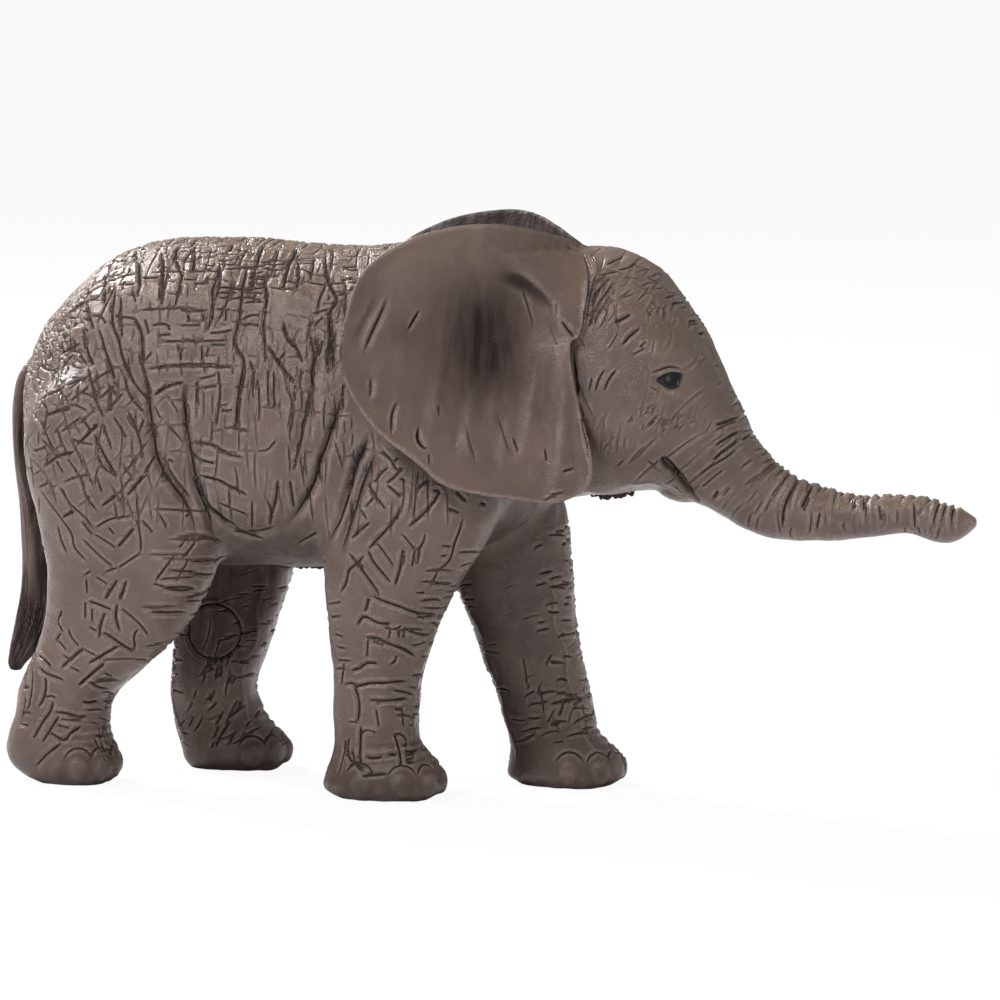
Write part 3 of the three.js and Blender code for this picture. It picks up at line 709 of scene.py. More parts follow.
# The carving: the sculptor's tool pushes narrow grooves with a raised lip into the skin, and
# presses soft folds. Each point keeps its deepest groove, fold and ridge, and how far to which
# side of the nearest groove it lies, from which the paint draws the groove's sharp bottom.
# A further store keeps painted shadow, laid under the ear's folded lobe and under the lower lip.
groove, lips, fold, ridge, painted_shadow, cut_force = (np.zeros(count) for _ in range(6))
uncut = 9.0
cut_away, cut_side = np.full(count, uncut), np.full(count, uncut)
cut_step = 0.45
longest_step = 3
shortest_step = 0.0001
groove_reach = 2.7
lip_middle = 1.75
lip_breadth = 0.7

# The points of the skin are kept by the small cube that they lie in, so that a groove finds its
# own quickly.
cell = 0.6
cell_corner = points.min(0) - 3
cell_counts = ((points.max(0) + 3 - cell_corner) / cell).astype(int) + 1
cell_keys = np.ravel_multi_index(((points - cell_corner) / cell).astype(int).T, cell_counts)
by_cell = np.argsort(cell_keys, kind="stable")
cell_keys = cell_keys[by_cell]


def close_by(spots, reach):
    """The points in the cubes within a reach of some spots, and perhaps a few further off."""
    steps = np.arange(-math.ceil(reach / cell), math.ceil(reach / cell) + 1)
    around = np.stack(np.meshgrid(steps, steps, steps), -1).reshape(-1, 3)
    own = np.unique(((spots - cell_corner) / cell).astype(int), axis=0)
    wanted = (own[:, None] + around).reshape(-1, 3)
    wanted = np.unique(np.ravel_multi_index(wanted.T, cell_counts, mode="clip"))
    first = np.searchsorted(cell_keys, wanted)
    last = np.searchsorted(cell_keys, wanted, side="right")
    return np.concatenate([by_cell[a:b] for a, b in zip(first.tolist(), last.tolist())])


def carve(path, width, depth, lip=0.35, ends=0.3, into=None):
    """Presses a groove along spots, or adds to the given store of folds, ridges or painted shadow.
    """
    path = [found for found in path if found is not None]
    if len(path) < 2:
        return
    spots = np.array([spot for spot, _ in path])
    normals = np.array([normal for _, normal in path])
    spans = np.diff(spots, axis=0)
    lengths = (spans ** 2).sum(1)
    if lengths.max() > longest_step ** 2 or lengths.min() < shortest_step ** 2:
        return
    near = close_by(spots, groove_reach * width)
    if not len(near):
        return
    offset = points[near][:, None] - spots[:-1]
    t = np.clip((offset * spans).sum(2) / lengths, 0, 1)
    away = np.linalg.norm(offset - t[..., None] * spans, axis=2)
    best = away.argmin(1)
    row = np.arange(len(near))
    d = away[row, best] / width
    at = (best + t[row, best]) / len(spans)
    same = smooth((facing[near] * normals[best]).sum(1), 0.1, 0.45)
    force = depth * same * (smooth(np.minimum(at, 1 - at), -0.02, ends) if ends else 1)
    pressed = force * np.exp(-d ** 2)
    if into is None:
        groove[near] = np.maximum(groove[near], pressed)
        across = np.cross(spans[best], offset[row, best] - t[row, best][:, None] * spans[best])
        hand = np.where((across * normals[best]).sum(1) < 0, -1, 1)
        closer = (d * width < cut_away[near]) & (force > 0.01)
        cut_away[near[closer]] = (d * width)[closer]
        cut_side[near[closer]] = (hand * d * width)[closer]
        cut_force[near[closer]] = force[closer]
        raised = lip * force * np.exp(-((d - lip_middle) / lip_breadth) ** 2)
        lips[near] = np.maximum(lips[near], raised)
    else:
        into[near] = np.maximum(into[near], pressed)


def pictured(knots, sway=0):
    """Spots on the skin along a smooth line through places in the picture."""
    p = np.array(knots, float).reshape(-1, 2)
    step = np.linalg.norm(np.diff(p, axis=0), axis=1)
    along = np.concatenate([[0], np.cumsum(step)])
    at = np.linspace(0, along[-1], max(3, int(along[-1] / picture_scale / cut_step) + 1))
    line = course(np.column_stack([along, p]), at) if len(p) > 2 else np.column_stack([
        np.interp(at, along, p[:, 0]), np.interp(at, along, p[:, 1]),
    ])
    line[:, 1] += sway * np.sin(at * 0.11)
    return [from_outside(x, y) for x, y in line]


def mirrored(path, ahead=0):
    """The spots on the left side that match spots on the right."""
    return [on_other_side(found, ahead) for found in path if found is not None]


def carve_both(path, width, depth, ahead=0, **how):
    """Carves a line on the right side and its match on the left."""
    for line in (path, mirrored(path, ahead)):
        carve(line, width, depth, **how)


slope_sway = 9


def hatch(place, spread_xy, slope, lengths, number, width, depth, seed, other=True):
    """A patch of short cuts round a place in the picture. A slope of 0 runs level, 90 upright."""
    rng = np.random.default_rng(seed)
    for _ in range(number):
        middle = np.array(place) + rng.normal(0, 0.5, 2) * spread_xy
        turn = math.radians(slope + rng.normal(0, slope_sway))
        half = rng.uniform(*lengths) / 2 * np.array([math.cos(turn), -math.sin(turn)])
        bow = rng.normal(0, 0.06) * np.array([half[1], -half[0]]) * 2
        path = pictured([middle - half, middle + bow, middle + half])
        force = depth * rng.uniform(0.6, 1.2)
        carve(path, width, force)
        if other:
            carve(mirrored(path, far_lead), width, force)


# The skin of the body is wrapped in rows of cuts. Places on it are given along the body and as a
# turn from the spine, to the right above 0 and to the left below it.
rump_pole = -33
rump_round = 13
body_middle = 38
body_girth = 13
body_reach = 19


def cast_from(origin, ray, furthest):
    """The spot on the skin that a ray from inside or outside meets, and its facing."""
    spot, normal, _, _ = skin_tree.ray_cast(Vector(origin), Vector(ray).normalized(), furthest)
    return None if spot is None else (np.array(spot), np.array(normal))


def on_body(along, turn):
    """The spot on the body at a place along it and a turn from the spine."""
    lean = max(0, (rump_pole - along) / rump_round)
    ray = (
        -math.sin(lean),
        -math.cos(lean) * math.sin(turn),
        math.cos(lean) * math.cos(turn),
    )
    return cast_from((max(along, rump_pole), 0, body_middle), ray, body_reach)


row_sway = 0.1
row_drift = 0.16
row_bow = 0.05


def cut_rows(place, alongs, turns, girth, spacing, lengths, slant, width, depth, seed,
             skip=0.2, around=True):
    """Rows of short cuts, running around the form or along it, that lean by the slant.

    The place gives the spot for a place along and a turn, and the girth is the form's own
    radius. Some of the cuts are skipped at random.
    """
    rng = np.random.default_rng(seed)
    turns = [math.radians(turn) for turn in turns]
    lanes, run = (alongs, turns) if around else (turns, alongs)
    lane_step = spacing if around else spacing / girth
    run_scale = girth if around else 1
    lane_scale = 1 if around else girth
    for lane in np.arange(lanes[0], lanes[1], lane_step):
        at = run[0] + rng.uniform(0, lengths[1]) / run_scale
        while at < run[1]:
            length = rng.uniform(*lengths)
            lean = slant + rng.normal(0, row_sway)
            start = lane + rng.normal(0, row_drift) * lane_step
            force = depth * rng.uniform(0.5, 1.2)
            bow = rng.normal(0, row_bow) * length
            if rng.random() > skip:
                t = np.linspace(0, 1, max(3, int(length / cut_step) + 1))
                runs = at + t * length * math.cos(lean) / run_scale
                across = t * length * math.sin(lean) + bow * np.sin(math.pi * t)
                off = start + across / lane_scale
                pairs = zip(off, runs) if around else zip(runs, off)
                carve([place(a, b) for a, b in pairs], width, force)
            at += length * rng.uniform(0.75, 1.15) / run_scale


def body_rows(alongs, turns, *cuts):
    """Rows of cuts over a stretch of the body."""
    cut_rows(on_body, alongs, turns, body_girth, *cuts)


# Over the back, round the body and along it.
body_rows((-52, 3), (-36, 36), 1.7, (2.5, 6), 0, 0.17, 0.2, 11, 0.1)
body_rows((-50, 2), (-40, 40), 0.95, (1.2, 4), 0, 0.15, 0.17, 12, 0.2, False)
body_rows((-50, 2), (-44, 44), 1.2, (0.6, 1.6), 0, 0.13, 0.12, 13, 0.35)
# Down the upper sides, finer over the shoulder and deeper on the rump.
whole, shoulder, rump = (-50, 2), (-26, 1), (-52, -38)
for seed, (side, slant) in enumerate((((-78, -40), -0.15), ((40, 78), 0.15)), 14):
    body_rows(whole, side, 1.25, (1, 3.2), 0.1, 0.13, 0.09, seed, 0.4)
    body_rows(whole, side, 1.4, (0.8, 2.4), slant, 0.13, 0.08, seed + 4, 0.45, False)
    body_rows(shoulder, side, 0.8, (1.5, 4), 0, 0.12, 0.07, seed + 8, 0.5)
    body_rows(rump, side, 0.9, (0.8, 2.2), 0.35, 0.15, 0.2, seed + 12, 0.25)
    body_rows(rump, side, 1.1, (0.8, 2.2), 3 * slant, 0.14, 0.16, seed + 16, 0.3, False)
# The flanks, where the cuts cross over the hips.
flank, hip = (-36, 0), (-48, -28)
for seed, side in enumerate(((78, 126), (-126, -78)), 34):
    body_rows(flank, side, 0.85, (1.5, 4.5), 0.05, 0.13, 0.11, seed, 0.35)
    body_rows(flank, side, 1.9, (1, 3), 0, 0.13, 0.09, seed + 4, 0.5, False)
    body_rows(hip, side, 1.2, (1.2, 3.5), 0.6, 0.13, 0.12, seed + 8, 0.35)
    body_rows(hip, side, 1.5, (1.2, 3), -0.7, 0.13, 0.12, seed + 12, 0.45)
# The backs of the thighs, low down and then higher up.
low_behind, high_behind = (-50, -38), (-52, -36)
for seed, side in enumerate(((112, 165), (-165, -112)), 54):
    body_rows(low_behind, side, 1.2, (1.2, 3.5), 0.1, 0.14, 0.14, seed, 0.3)
    body_rows(low_behind, side, 1.5, (1.2, 3), 0.4, 0.13, 0.1, seed + 4, 0.4, False)
for seed, side in enumerate(((78, 112), (-112, -78)), 24):
    body_rows(high_behind, side, 1.4, (1, 3), 0.3, 0.14, 0.15, seed, 0.3, False)
    body_rows(high_behind, side, 1.5, (1, 2.6), 0.2, 0.13, 0.12, seed + 4, 0.4)

# Folds of the flank, thigh and shoulder: long, soft and deep, and drawn the same on both sides.
# A line is written as its places in the picture, across and down in turn.
crease_cut = (0.14, 0.2)
body_folds = [
    ((143, 352, 147, 390, 154, 434, 158, 457, 176, 488, 192, 512, 197, 545), 0.5, 0.42),
    ((183, 378, 184, 412, 188, 440, 192, 466, 199, 492, 210, 515, 216, 545), 0.5, 0.5),
    ((191, 475, 208, 508, 227, 523, 250, 534, 269, 531, 280, 520), 0.42, 0.4),
    ((345, 385, 334, 424, 322, 458, 315, 483, 300, 508, 286, 531), 0.45, 0.5),
    ((355, 398, 349, 428, 336, 462, 326, 496, 317, 515, 297, 541), 0.6, 0.75),
    ((372, 428, 359, 458, 345, 496, 336, 523, 324, 545), 0.45, 0.6),
    ((379, 445, 362, 480, 352, 508, 344, 535, 340, 560), 0.6, 0.55),
    ((244, 361, 239, 386, 235, 434), 0.35, 0.25), ((330, 309, 333, 345, 332, 376), 0.4, 0.3),
    ((310, 385, 303, 430, 297, 462), 0.8, 0.3), ((320, 330, 313, 375, 311, 430), 0.6, 0.3),
]
for knots, width, depth in body_folds:
    path = pictured(knots, 1)
    carve_both(path, width, depth, far_lead, ends=0.25, into=fold)
    carve_both(path, *crease_cut, far_lead)

# Cuts that stand out on the near side, one by one: the deep ones and the light ones of the flank
# and thigh, then of the shoulder and of the shank. Those high up are cut on the left side too.
deep_cuts = [
    (88, 286, 87, 302, 89, 314, 91, 323, 94, 331), (107, 272, 105, 288, 104, 304),
    (115, 281, 114, 297, 112, 311, 112, 323, 118, 339, 122, 357, 127, 369, 136, 387),
    (137, 250, 136, 258, 139, 265, 139, 278, 141, 288),
    (135, 318, 141, 332, 142, 348, 143, 359, 144, 366), (161, 250, 163, 262, 162, 286, 158, 302),
    (177, 247, 177, 261, 181, 272, 185, 280), (196, 245, 194, 263, 192, 273),
    (53, 328, 68, 315, 80, 304, 91, 299, 102, 296), (82, 328, 85, 341, 89, 357, 94, 365),
    (98, 328, 102, 341, 105, 352, 108, 359, 115, 380), (60, 354, 70, 348, 80, 343),
    (37, 401, 57, 390, 66, 385), (145, 369, 169, 366, 200, 366, 236, 367),
    (153, 395, 169, 386, 184, 382), (185, 383, 184, 406, 186, 432), (44, 466, 58, 456, 74, 452),
    (44, 415, 58, 411, 71, 408), (76, 445, 88, 434, 99, 423), (94, 433, 102, 451, 118, 479),
    (127, 496, 136, 485, 144, 475), (102, 506, 110, 500, 118, 494), (63, 517, 74, 511),
    (118, 547, 134, 528), (107, 596, 117, 580), (121, 596, 126, 581),
    (169, 590, 183, 591, 196, 589),
    (220, 260, 219, 271, 216, 280, 212, 290, 213, 301, 212, 316, 206, 333), (233, 245, 229, 252),
    (248, 259, 247, 269, 243, 285, 242, 294, 241, 303, 240, 317, 235, 340, 236, 347, 243, 359, 244,
     373, 241, 388, 237, 418, 234, 438), (265, 244, 260, 253, 257, 264),
    (270, 267, 266, 276, 265, 285, 267, 294, 265, 310, 264, 325, 265, 345, 265, 365),
    (280, 249, 274, 263), (299, 247, 290, 263, 286, 276, 283, 290),
    (327, 247, 326, 264, 328, 280, 335, 294, 337, 300, 330, 311, 330, 325, 330, 345, 328, 356, 329,
     379), (249, 277, 265, 279), (214, 287, 228, 287, 242, 289, 265, 287),
    (283, 321, 288, 339, 295, 346, 303, 363), (267, 344, 278, 361, 295, 384),
    (191, 442, 214, 446, 227, 454, 244, 458), (190, 451, 196, 458, 215, 464),
    (198, 476, 216, 480, 232, 488, 248, 496), (278, 479, 276, 499, 271, 518, 270, 527),
    (290, 481, 292, 496, 294, 508),
    (198, 477, 201, 492, 209, 508, 221, 518, 242, 527, 261, 532, 270, 529),
]
light_cuts = [
    (121, 295, 121, 314, 122, 339), (132, 290, 136, 302), (183, 261, 194, 261),
    (91, 316, 100, 316, 107, 325), (103, 269, 112, 263, 127, 261), (108, 279, 118, 271),
    (48, 338, 49, 352, 51, 359), (70, 331, 70, 341, 74, 351, 82, 352), (80, 355, 87, 364),
    (60, 378, 66, 362, 74, 354), (41, 357, 44, 369, 57, 372, 56, 389), (58, 389, 69, 403),
    (44, 417, 58, 410, 70, 405), (42, 402, 48, 412), (70, 401, 89, 386), (66, 385, 88, 377),
    (88, 366, 93, 388, 100, 410, 106, 420), (93, 380, 111, 370), (100, 398, 115, 385),
    (105, 414, 123, 393), (111, 390, 111, 412), (124, 375, 130, 395, 146, 414),
    (129, 355, 128, 366, 136, 385, 151, 403), (138, 352, 143, 369, 151, 395),
    (144, 361, 152, 352), (157, 342, 175, 341, 200, 341, 232, 340), (157, 335, 171, 334),
    (152, 325, 168, 325, 170, 331), (178, 344, 181, 361), (145, 319, 149, 334),
    (115, 316, 127, 317, 135, 319, 138, 325), (139, 310, 170, 308, 200, 308),
    (142, 278, 160, 277), (40, 419, 49, 441, 56, 454), (56, 427, 63, 448), (61, 432, 81, 417),
    (33, 451, 47, 447), (81, 417, 91, 431), (96, 452, 104, 468, 117, 477), (96, 475, 102, 493),
    (102, 422, 112, 450), (114, 417, 127, 438), (128, 410, 139, 436, 144, 461),
    (139, 433, 144, 419), (122, 476, 140, 454), (144, 474, 156, 455),
    (162, 454, 173, 475, 191, 499), (168, 459, 174, 462), (39, 487, 49, 482),
    (63, 482, 74, 478, 91, 474), (66, 457, 79, 476, 89, 501, 99, 513),
    (58, 485, 71, 505, 84, 517, 94, 528),
    (39, 488, 49, 503, 58, 515, 63, 522, 71, 533, 74, 547, 89, 563), (56, 461, 63, 473),
    (57, 525, 62, 543, 67, 554), (95, 528, 109, 520, 132, 516), (136, 517, 140, 535, 141, 553),
    (94, 534, 116, 548), (82, 538, 96, 553, 113, 567), (118, 568, 141, 553), (105, 572, 117, 568),
    (82, 522, 88, 530, 93, 535), (109, 528, 114, 534), (159, 513, 167, 528), (142, 520, 153, 533),
    (179, 548, 191, 535), (181, 561, 199, 538), (155, 581, 177, 553), (176, 582, 190, 558),
    (153, 584, 165, 587), (96, 577, 107, 584), (84, 575, 91, 571), (86, 579, 87, 594),
    (203, 257, 226, 254, 244, 255, 258, 255), (205, 268, 212, 270),
    (226, 261, 235, 258, 244, 258), (224, 269, 244, 268, 260, 269), (249, 274, 264, 271),
    (248, 283, 265, 284), (216, 292, 237, 293), (217, 297, 237, 298, 242, 297, 263, 300),
    (244, 292, 263, 293), (217, 309, 230, 309), (244, 303, 253, 301, 263, 302),
    (241, 320, 251, 315, 260, 315), (241, 325, 251, 324, 260, 326),
    (209, 333, 221, 332, 232, 330), (211, 345, 226, 345), (180, 364, 201, 364, 216, 364),
    (199, 379, 216, 375), (199, 388, 217, 386), (197, 380, 198, 407),
    (218, 368, 220, 391, 218, 413, 215, 430), (202, 345, 202, 361), (209, 347, 206, 357),
    (181, 347, 181, 361), (226, 309, 226, 321), (249, 360, 253, 368, 253, 384, 253, 399),
    (257, 377, 259, 395, 259, 422), (268, 368, 268, 391, 269, 409),
    (274, 369, 274, 395, 275, 413), (295, 337, 291, 346), (278, 361, 286, 352),
    (311, 313, 310, 333, 314, 356, 312, 377, 315, 391), (323, 340, 318, 356),
    (315, 337, 319, 354), (295, 384, 295, 402), (302, 368, 299, 391),
    (338, 368, 348, 384, 357, 400), (343, 383, 343, 410), (310, 393, 310, 411),
    (295, 268, 306, 270, 312, 275), (296, 263, 313, 263), (292, 260, 318, 260),
    (342, 267, 358, 266), (341, 280, 354, 278), (338, 295, 350, 293), (313, 313, 328, 309),
    (315, 325, 323, 317), (261, 262, 272, 261), (263, 264, 287, 264), (270, 275, 280, 275),
    (180, 310, 194, 311, 208, 310), (180, 325, 201, 325), (188, 313, 189, 322),
    (203, 313, 204, 322), (194, 283, 210, 283), (221, 411, 232, 410),
    (223, 428, 233, 428, 249, 432), (216, 502, 232, 509, 248, 515), (229, 492, 230, 505),
    (252, 501, 252, 514, 252, 528), (285, 383, 293, 405, 290, 436),
    (309, 388, 308, 413, 303, 422, 302, 436), (299, 442, 297, 456, 294, 471),
    (276, 440, 265, 451, 258, 451), (233, 532, 249, 536, 265, 539), (186, 516, 192, 513),
    (297, 544, 308, 538, 317, 532),
]
cut_form = {"lip": 0.75, "ends": 0.15}
thigh_foot = 520
for cuts, width, depth in ((deep_cuts, 0.17, 0.27), (light_cuts, 0.14, 0.17)):
    for knots in cuts:
        path = pictured(knots)
        carve(path, width, depth, **cut_form)
        if knots[1] < thigh_foot:
            carve(mirrored(path, far_lead), width, depth, **cut_form)
shoulder_deep = [
    (381, 450, 386, 455, 392, 461), (394, 461, 398, 457), (387, 467, 379, 475, 374, 482),
    (403, 467, 394, 477, 386, 483), (392, 461, 394, 467, 400, 471),
    (387, 485, 394, 491, 401, 497), (400, 478, 405, 482), (417, 490, 423, 484, 428, 479),
    (433, 490, 438, 490, 440, 495), (439, 491, 436, 499, 427, 510, 417, 520, 408, 527),
    (366, 482, 374, 494, 385, 509), (370, 522, 360, 530, 351, 538),
    (400, 506, 397, 516, 386, 530, 374, 543, 368, 550), (368, 550, 372, 560, 382, 573, 391, 583),
    (403, 549, 400, 569, 395, 586), (456, 491, 466, 501), (447, 508, 459, 513),
    (480, 503, 486, 505), (348, 552, 356, 563, 363, 572, 372, 584, 380, 596),
    (364, 555, 359, 562, 348, 571, 346, 582, 340, 593),
    (371, 595, 380, 600, 397, 606, 416, 613, 439, 615), (369, 598, 367, 606, 365, 612),
    (357, 626, 363, 617, 375, 622, 382, 624, 391, 623), (408, 631, 421, 635, 430, 635),
    (364, 637, 378, 639, 391, 645, 405, 650, 416, 657), (351, 671, 362, 667, 365, 664, 378, 664),
    (343, 685, 351, 683, 356, 686, 367, 684, 386, 683, 408, 681),
    (369, 700, 379, 701, 397, 700, 408, 698), (354, 686, 358, 697, 359, 713, 358, 722),
    (361, 726, 360, 748, 360, 759, 362, 767), (349, 738, 347, 748, 349, 759, 360, 768, 364, 771),
    (394, 734, 398, 742, 401, 752, 402, 763, 404, 767), (389, 754, 397, 754),
    (405, 750, 415, 751), (405, 754, 416, 753), (406, 759, 415, 757), (408, 762, 415, 761),
    (367, 757, 375, 758, 382, 756), (395, 709, 401, 710), (362, 776, 375, 775, 387, 774),
]
shoulder_light = [
    (424, 468, 420, 473, 416, 478), (374, 497, 365, 507), (356, 504, 362, 512, 367, 520),
    (377, 543, 386, 555, 394, 567), (405, 550, 403, 565),
    (426, 532, 423, 543, 418, 550, 407, 540, 401, 533), (415, 550, 412, 567),
    (420, 550, 417, 565), (358, 562, 364, 568), (426, 571, 440, 571), (416, 593, 425, 593),
    (420, 582, 433, 582, 450, 584, 453, 582), (440, 556, 447, 556), (442, 546, 451, 547),
    (464, 515, 460, 530, 455, 543, 450, 560, 439, 571, 429, 590), (417, 617, 424, 618),
    (384, 627, 393, 630, 402, 626), (390, 630, 389, 639), (399, 630, 399, 638),
    (405, 627, 404, 638), (368, 639, 367, 657), (372, 641, 384, 646),
    (397, 656, 394, 663, 390, 665), (349, 722, 357, 723), (376, 709, 379, 727),
    (378, 700, 378, 705), (402, 706, 404, 727), (345, 739, 344, 752, 341, 764, 338, 775),
    (394, 734, 401, 734, 408, 744, 402, 746), (361, 733, 368, 730, 376, 734),
    (352, 750, 357, 766, 361, 771), (328, 604, 341, 602), (331, 617, 341, 616),
    (335, 634, 343, 637), (336, 646, 345, 649), (338, 660, 351, 661), (335, 668, 346, 669),
    (344, 663, 341, 685),
]
shank_deep = [
    (110, 590, 106, 599), (124, 590, 120, 599), (105, 612, 100, 627, 99, 638),
    (117, 604, 116, 619, 120, 632), (88, 601, 99, 605, 111, 610),
    (103, 632, 115, 640, 125, 647, 134, 652), (119, 646, 110, 651, 98, 658, 88, 664),
    (84, 648, 71, 659, 61, 668), (105, 663, 92, 674, 78, 686), (60, 633, 55, 641),
    (62, 610, 57, 622, 63, 632), (38, 655, 45, 661, 51, 667),
    (39, 667, 43, 672, 55, 677, 64, 681), (45, 677, 45, 692, 41, 703, 38, 707),
    (53, 701, 51, 710, 43, 721, 33, 739), (59, 716, 51, 728, 42, 742),
    (56, 712, 69, 714, 82, 717, 87, 716), (50, 732, 57, 737, 64, 740, 71, 733, 82, 726),
    (61, 743, 47, 754, 36, 766), (83, 702, 89, 703, 98, 701), (89, 682, 99, 688, 108, 689),
    (37, 651, 29, 669, 25, 690), (32, 669, 31, 692, 27, 711), (25, 698, 20, 725),
    (106, 716, 105, 732, 110, 742, 113, 758), (100, 728, 102, 740, 108, 756),
]
shank_light = [
    (85, 601, 85, 619), (92, 608, 92, 622), (121, 608, 134, 619, 143, 628, 149, 637),
    (138, 629, 134, 636, 135, 646, 134, 651), (68, 629, 71, 637, 79, 646), (83, 649, 96, 656),
    (89, 627, 96, 631), (46, 697, 51, 696, 56, 698), (60, 719, 71, 720, 83, 721),
    (57, 725, 69, 728), (105, 673, 112, 677), (24, 687, 29, 688), (22, 712, 31, 713),
    (21, 724, 28, 725), (94, 737, 101, 748, 106, 761), (63, 655, 72, 661), (70, 667, 80, 672),
    (58, 640, 66, 650),
]
elbow = (300, 600)
shoulder_lead = 14
for cuts, width, depth in ((shoulder_deep, 0.17, 0.26), (shoulder_light, 0.14, 0.16),
                           (shank_deep, 0.17, 0.26), (shank_light, 0.14, 0.16)):
    for knots in cuts:
        path = pictured(knots)
        carve(path, width, depth, **cut_form)
        if knots[1] < elbow[1] and knots[0] > elbow[0]:
            carve(mirrored(path, shoulder_lead), width, depth, **cut_form)

# The far legs: patches of cuts on their inner faces, the round plug pressed into the hind one,
# and the flap of skin behind the near elbow.
far_patches = [
    ((566, 600), (36, 110), 6, (8, 22), 44, 0.15, 0.22),
    ((556, 700), (60, 60), 14, (10, 32), 18, 0.15, 0.17),
    ((552, 705), (60, 60), 68, (8, 18), 12, 0.14, 0.15),
    ((252, 630), (30, 76), 6, (6, 18), 30, 0.15, 0.22),
    ((222, 712), (52, 44), 58, (8, 24), 24, 0.15, 0.22),
    ((212, 668), (22, 24), 82, (8, 22), 9, 0.15, 0.2),
]
for seed, patch in enumerate(far_patches, 90):
    hatch(*patch, seed, other=False)

plug_radius = 2.7
plug_leg = leg_facts["left_hind_leg"]
plug_height = 0.343 * leg_height
plug_reach = 16
plug_x, plug_out, _, _ = (float(v[0]) for v in leg_sizes(plug_leg, [plug_height]))
plug_ring = []
for turn in np.linspace(0, 2 * math.pi, 41):
    x = plug_x + plug_radius * math.cos(turn)
    z = plug_height + plug_radius * math.sin(turn)
    plug_ring.append(cast_from((x, 0, z), (0, 1, 0), plug_reach))
carve(plug_ring, 0.17, 0.3, lip=0.8, ends=0)
flap = pictured((541, 513, 527, 516, 514, 524, 500, 531, 487, 528, 480, 520))
carve(flap, 0.14, 0.3, lip=0.6, ends=0.1)
carve(flap, 0.5, 0.3, ends=0.1, into=fold)

# The hide of the legs: rings and short upright cuts, close together above the feet, with the inner
# faces left smooth between two raised parting lines of the mould.
leg_reach = 13


def on_leg(leg, height, turn):
    """The spot on a leg at a height and a turn from its front, past its outer face."""
    x, out, _, _ = (float(v[0]) for v in leg_sizes(leg, [height]))
    ray = (math.cos(turn), leg["side"] * math.sin(turn), 0)
    return cast_from((x, leg["side"] * out, height), ray, leg_reach)


leg_girth = 5
thigh_girth = 6
parting_turns = (-38, 218)
nail_arch_half = 1.45
nail_arch_rise = 1.55
for seed, (leg_name, leg) in enumerate(leg_facts.items(), 30):
    hind = "hind" in leg_name
    seen = leg["side"] < 0

    def place(height, turn, leg=leg):
        return on_leg(leg, height, turn)

    def leg_rows(heights, turns, *cuts, place=place):
        cut_rows(place, heights, turns, leg_girth, *cuts)

    top = 27 if hind else 25
    sides = [(-25, 25), (155, 205)] if seen else [(-25, 205)]
    for k, turns in enumerate(sides):
        leg_rows((8, top), turns, 2.1, (1.8, 5), 0, 0.15, 0.2, seed + 3 * k, 0.3)
        leg_rows((2.6, 9), turns, 1.15, (1.2, 3.4), 0, 0.13, 0.16, seed + 20 + 3 * k, 0.4)
        leg_rows((2.8, 9.5), turns, 1.3, (1.2, 3), 0, 0.13, 0.15, seed + 30 + 3 * k, 0.5, False)
    leg_rows((9, top), (-32, 30), 1.5, (1.5, 3.5), 0, 0.2, 0.24, seed + 40, 0.2)
    leg_rows((9, top), (150, 212), 1.5, (1.5, 3.5), 0, 0.2, 0.24, seed + 50, 0.2)
    leg_rows((3, 9), (-140, -30), 1.7, (1.5, 4), 0.2, 0.15, 0.15, seed + 60, 0.5)
    leg_rows((5, 12), (-120, -60), 1.5, (1.5, 4), 0.1, 0.13, 0.12, seed + 65, 0.5, False)
    leg_rows((10, 20), (-140, -30), 3.2, (1.5, 3.5), 0.3, 0.13, 0.08, seed + 70, 0.6)
    if not seen:
        slant = 0.7 if hind else 0.6
        for spacing, lengths, lean, depth, later, skip in (
            (2.4, (2.5, 5.5), slant, 0.2, 80, 0.35), (2.6, (2.5, 5), -slant, 0.18, 90, 0.45),
        ):
            cut_rows(place, (top - 16, top + 8), (20, 170), thigh_girth, spacing, lengths, lean,
                     0.15, depth, seed + later, skip)

    # The parting lines of the mould.
    for turn in parting_turns:
        heights = np.arange(2.5, 21, cut_step)
        wobble = 3 * np.sin(heights * 1.1 + turn)
        line = [place(h, math.radians(turn + w)) for h, w in zip(heights, wobble)]
        carve(line, 0.16, 0.2, ends=0.1, into=ridge)

    # A cut round each nail, and the creases of the ankle.
    for (x, y, z), (ahead, aside) in leg["nail_places"]:
        arch = []
        for t in np.linspace(-1.35, 1.35, 10):
            sideways = nail_arch_half * math.sin(t)
            origin = (x - ahead * 2 - aside * sideways, y - aside * 2 + ahead * sideways,
                      z + 0.1 + nail_arch_rise * math.cos(t))
            arch.append(cast_from(origin, (ahead, aside, 0.15), 6))
        carve(arch, 0.15, 0.22, ends=0.25)
    for k in range(3):
        bend = [place(3.6 + 0.75 * k + 0.5 * math.cos(t), t) for t in np.linspace(-0.9, 1.9, 30)]
        carve(bend, 0.3, 0.14, ends=0.3, into=fold)

# The head: fine wrinkles that fan out from the ear root, lids round the eye, a closed mouth, and
# rings round the trunk that bite deepest along its top.
axis_x = neck_place + head_places * head_length
axis_z = (head_table[:, 0] + head_table[:, 1]) / 2
window = np.hanning(25) / np.hanning(25).sum()
axis_z = np.convolve(np.pad(axis_z, 12, mode="edge"), window, mode="valid")
axis_step = np.hypot(np.diff(axis_x), np.diff(axis_z))
axis_run = np.concatenate([[0], np.cumsum(axis_step)])
axis_slope = np.arctan2(np.gradient(axis_z), np.gradient(axis_x))
trunk_end = axis_run[-1]
trunk_root = 20
head_reach = 14


def on_trunk(along, turn):
    """The spot on the head or trunk at a run along its middle and a turn from its top."""
    x, z, slope = (float(np.interp(along, axis_run, v)) for v in (axis_x, axis_z, axis_slope))
    ray = (
        -math.sin(slope) * math.cos(turn), -math.sin(turn), math.cos(slope) * math.cos(turn),
    )
    return cast_from((x, 0, z), ray, head_reach)


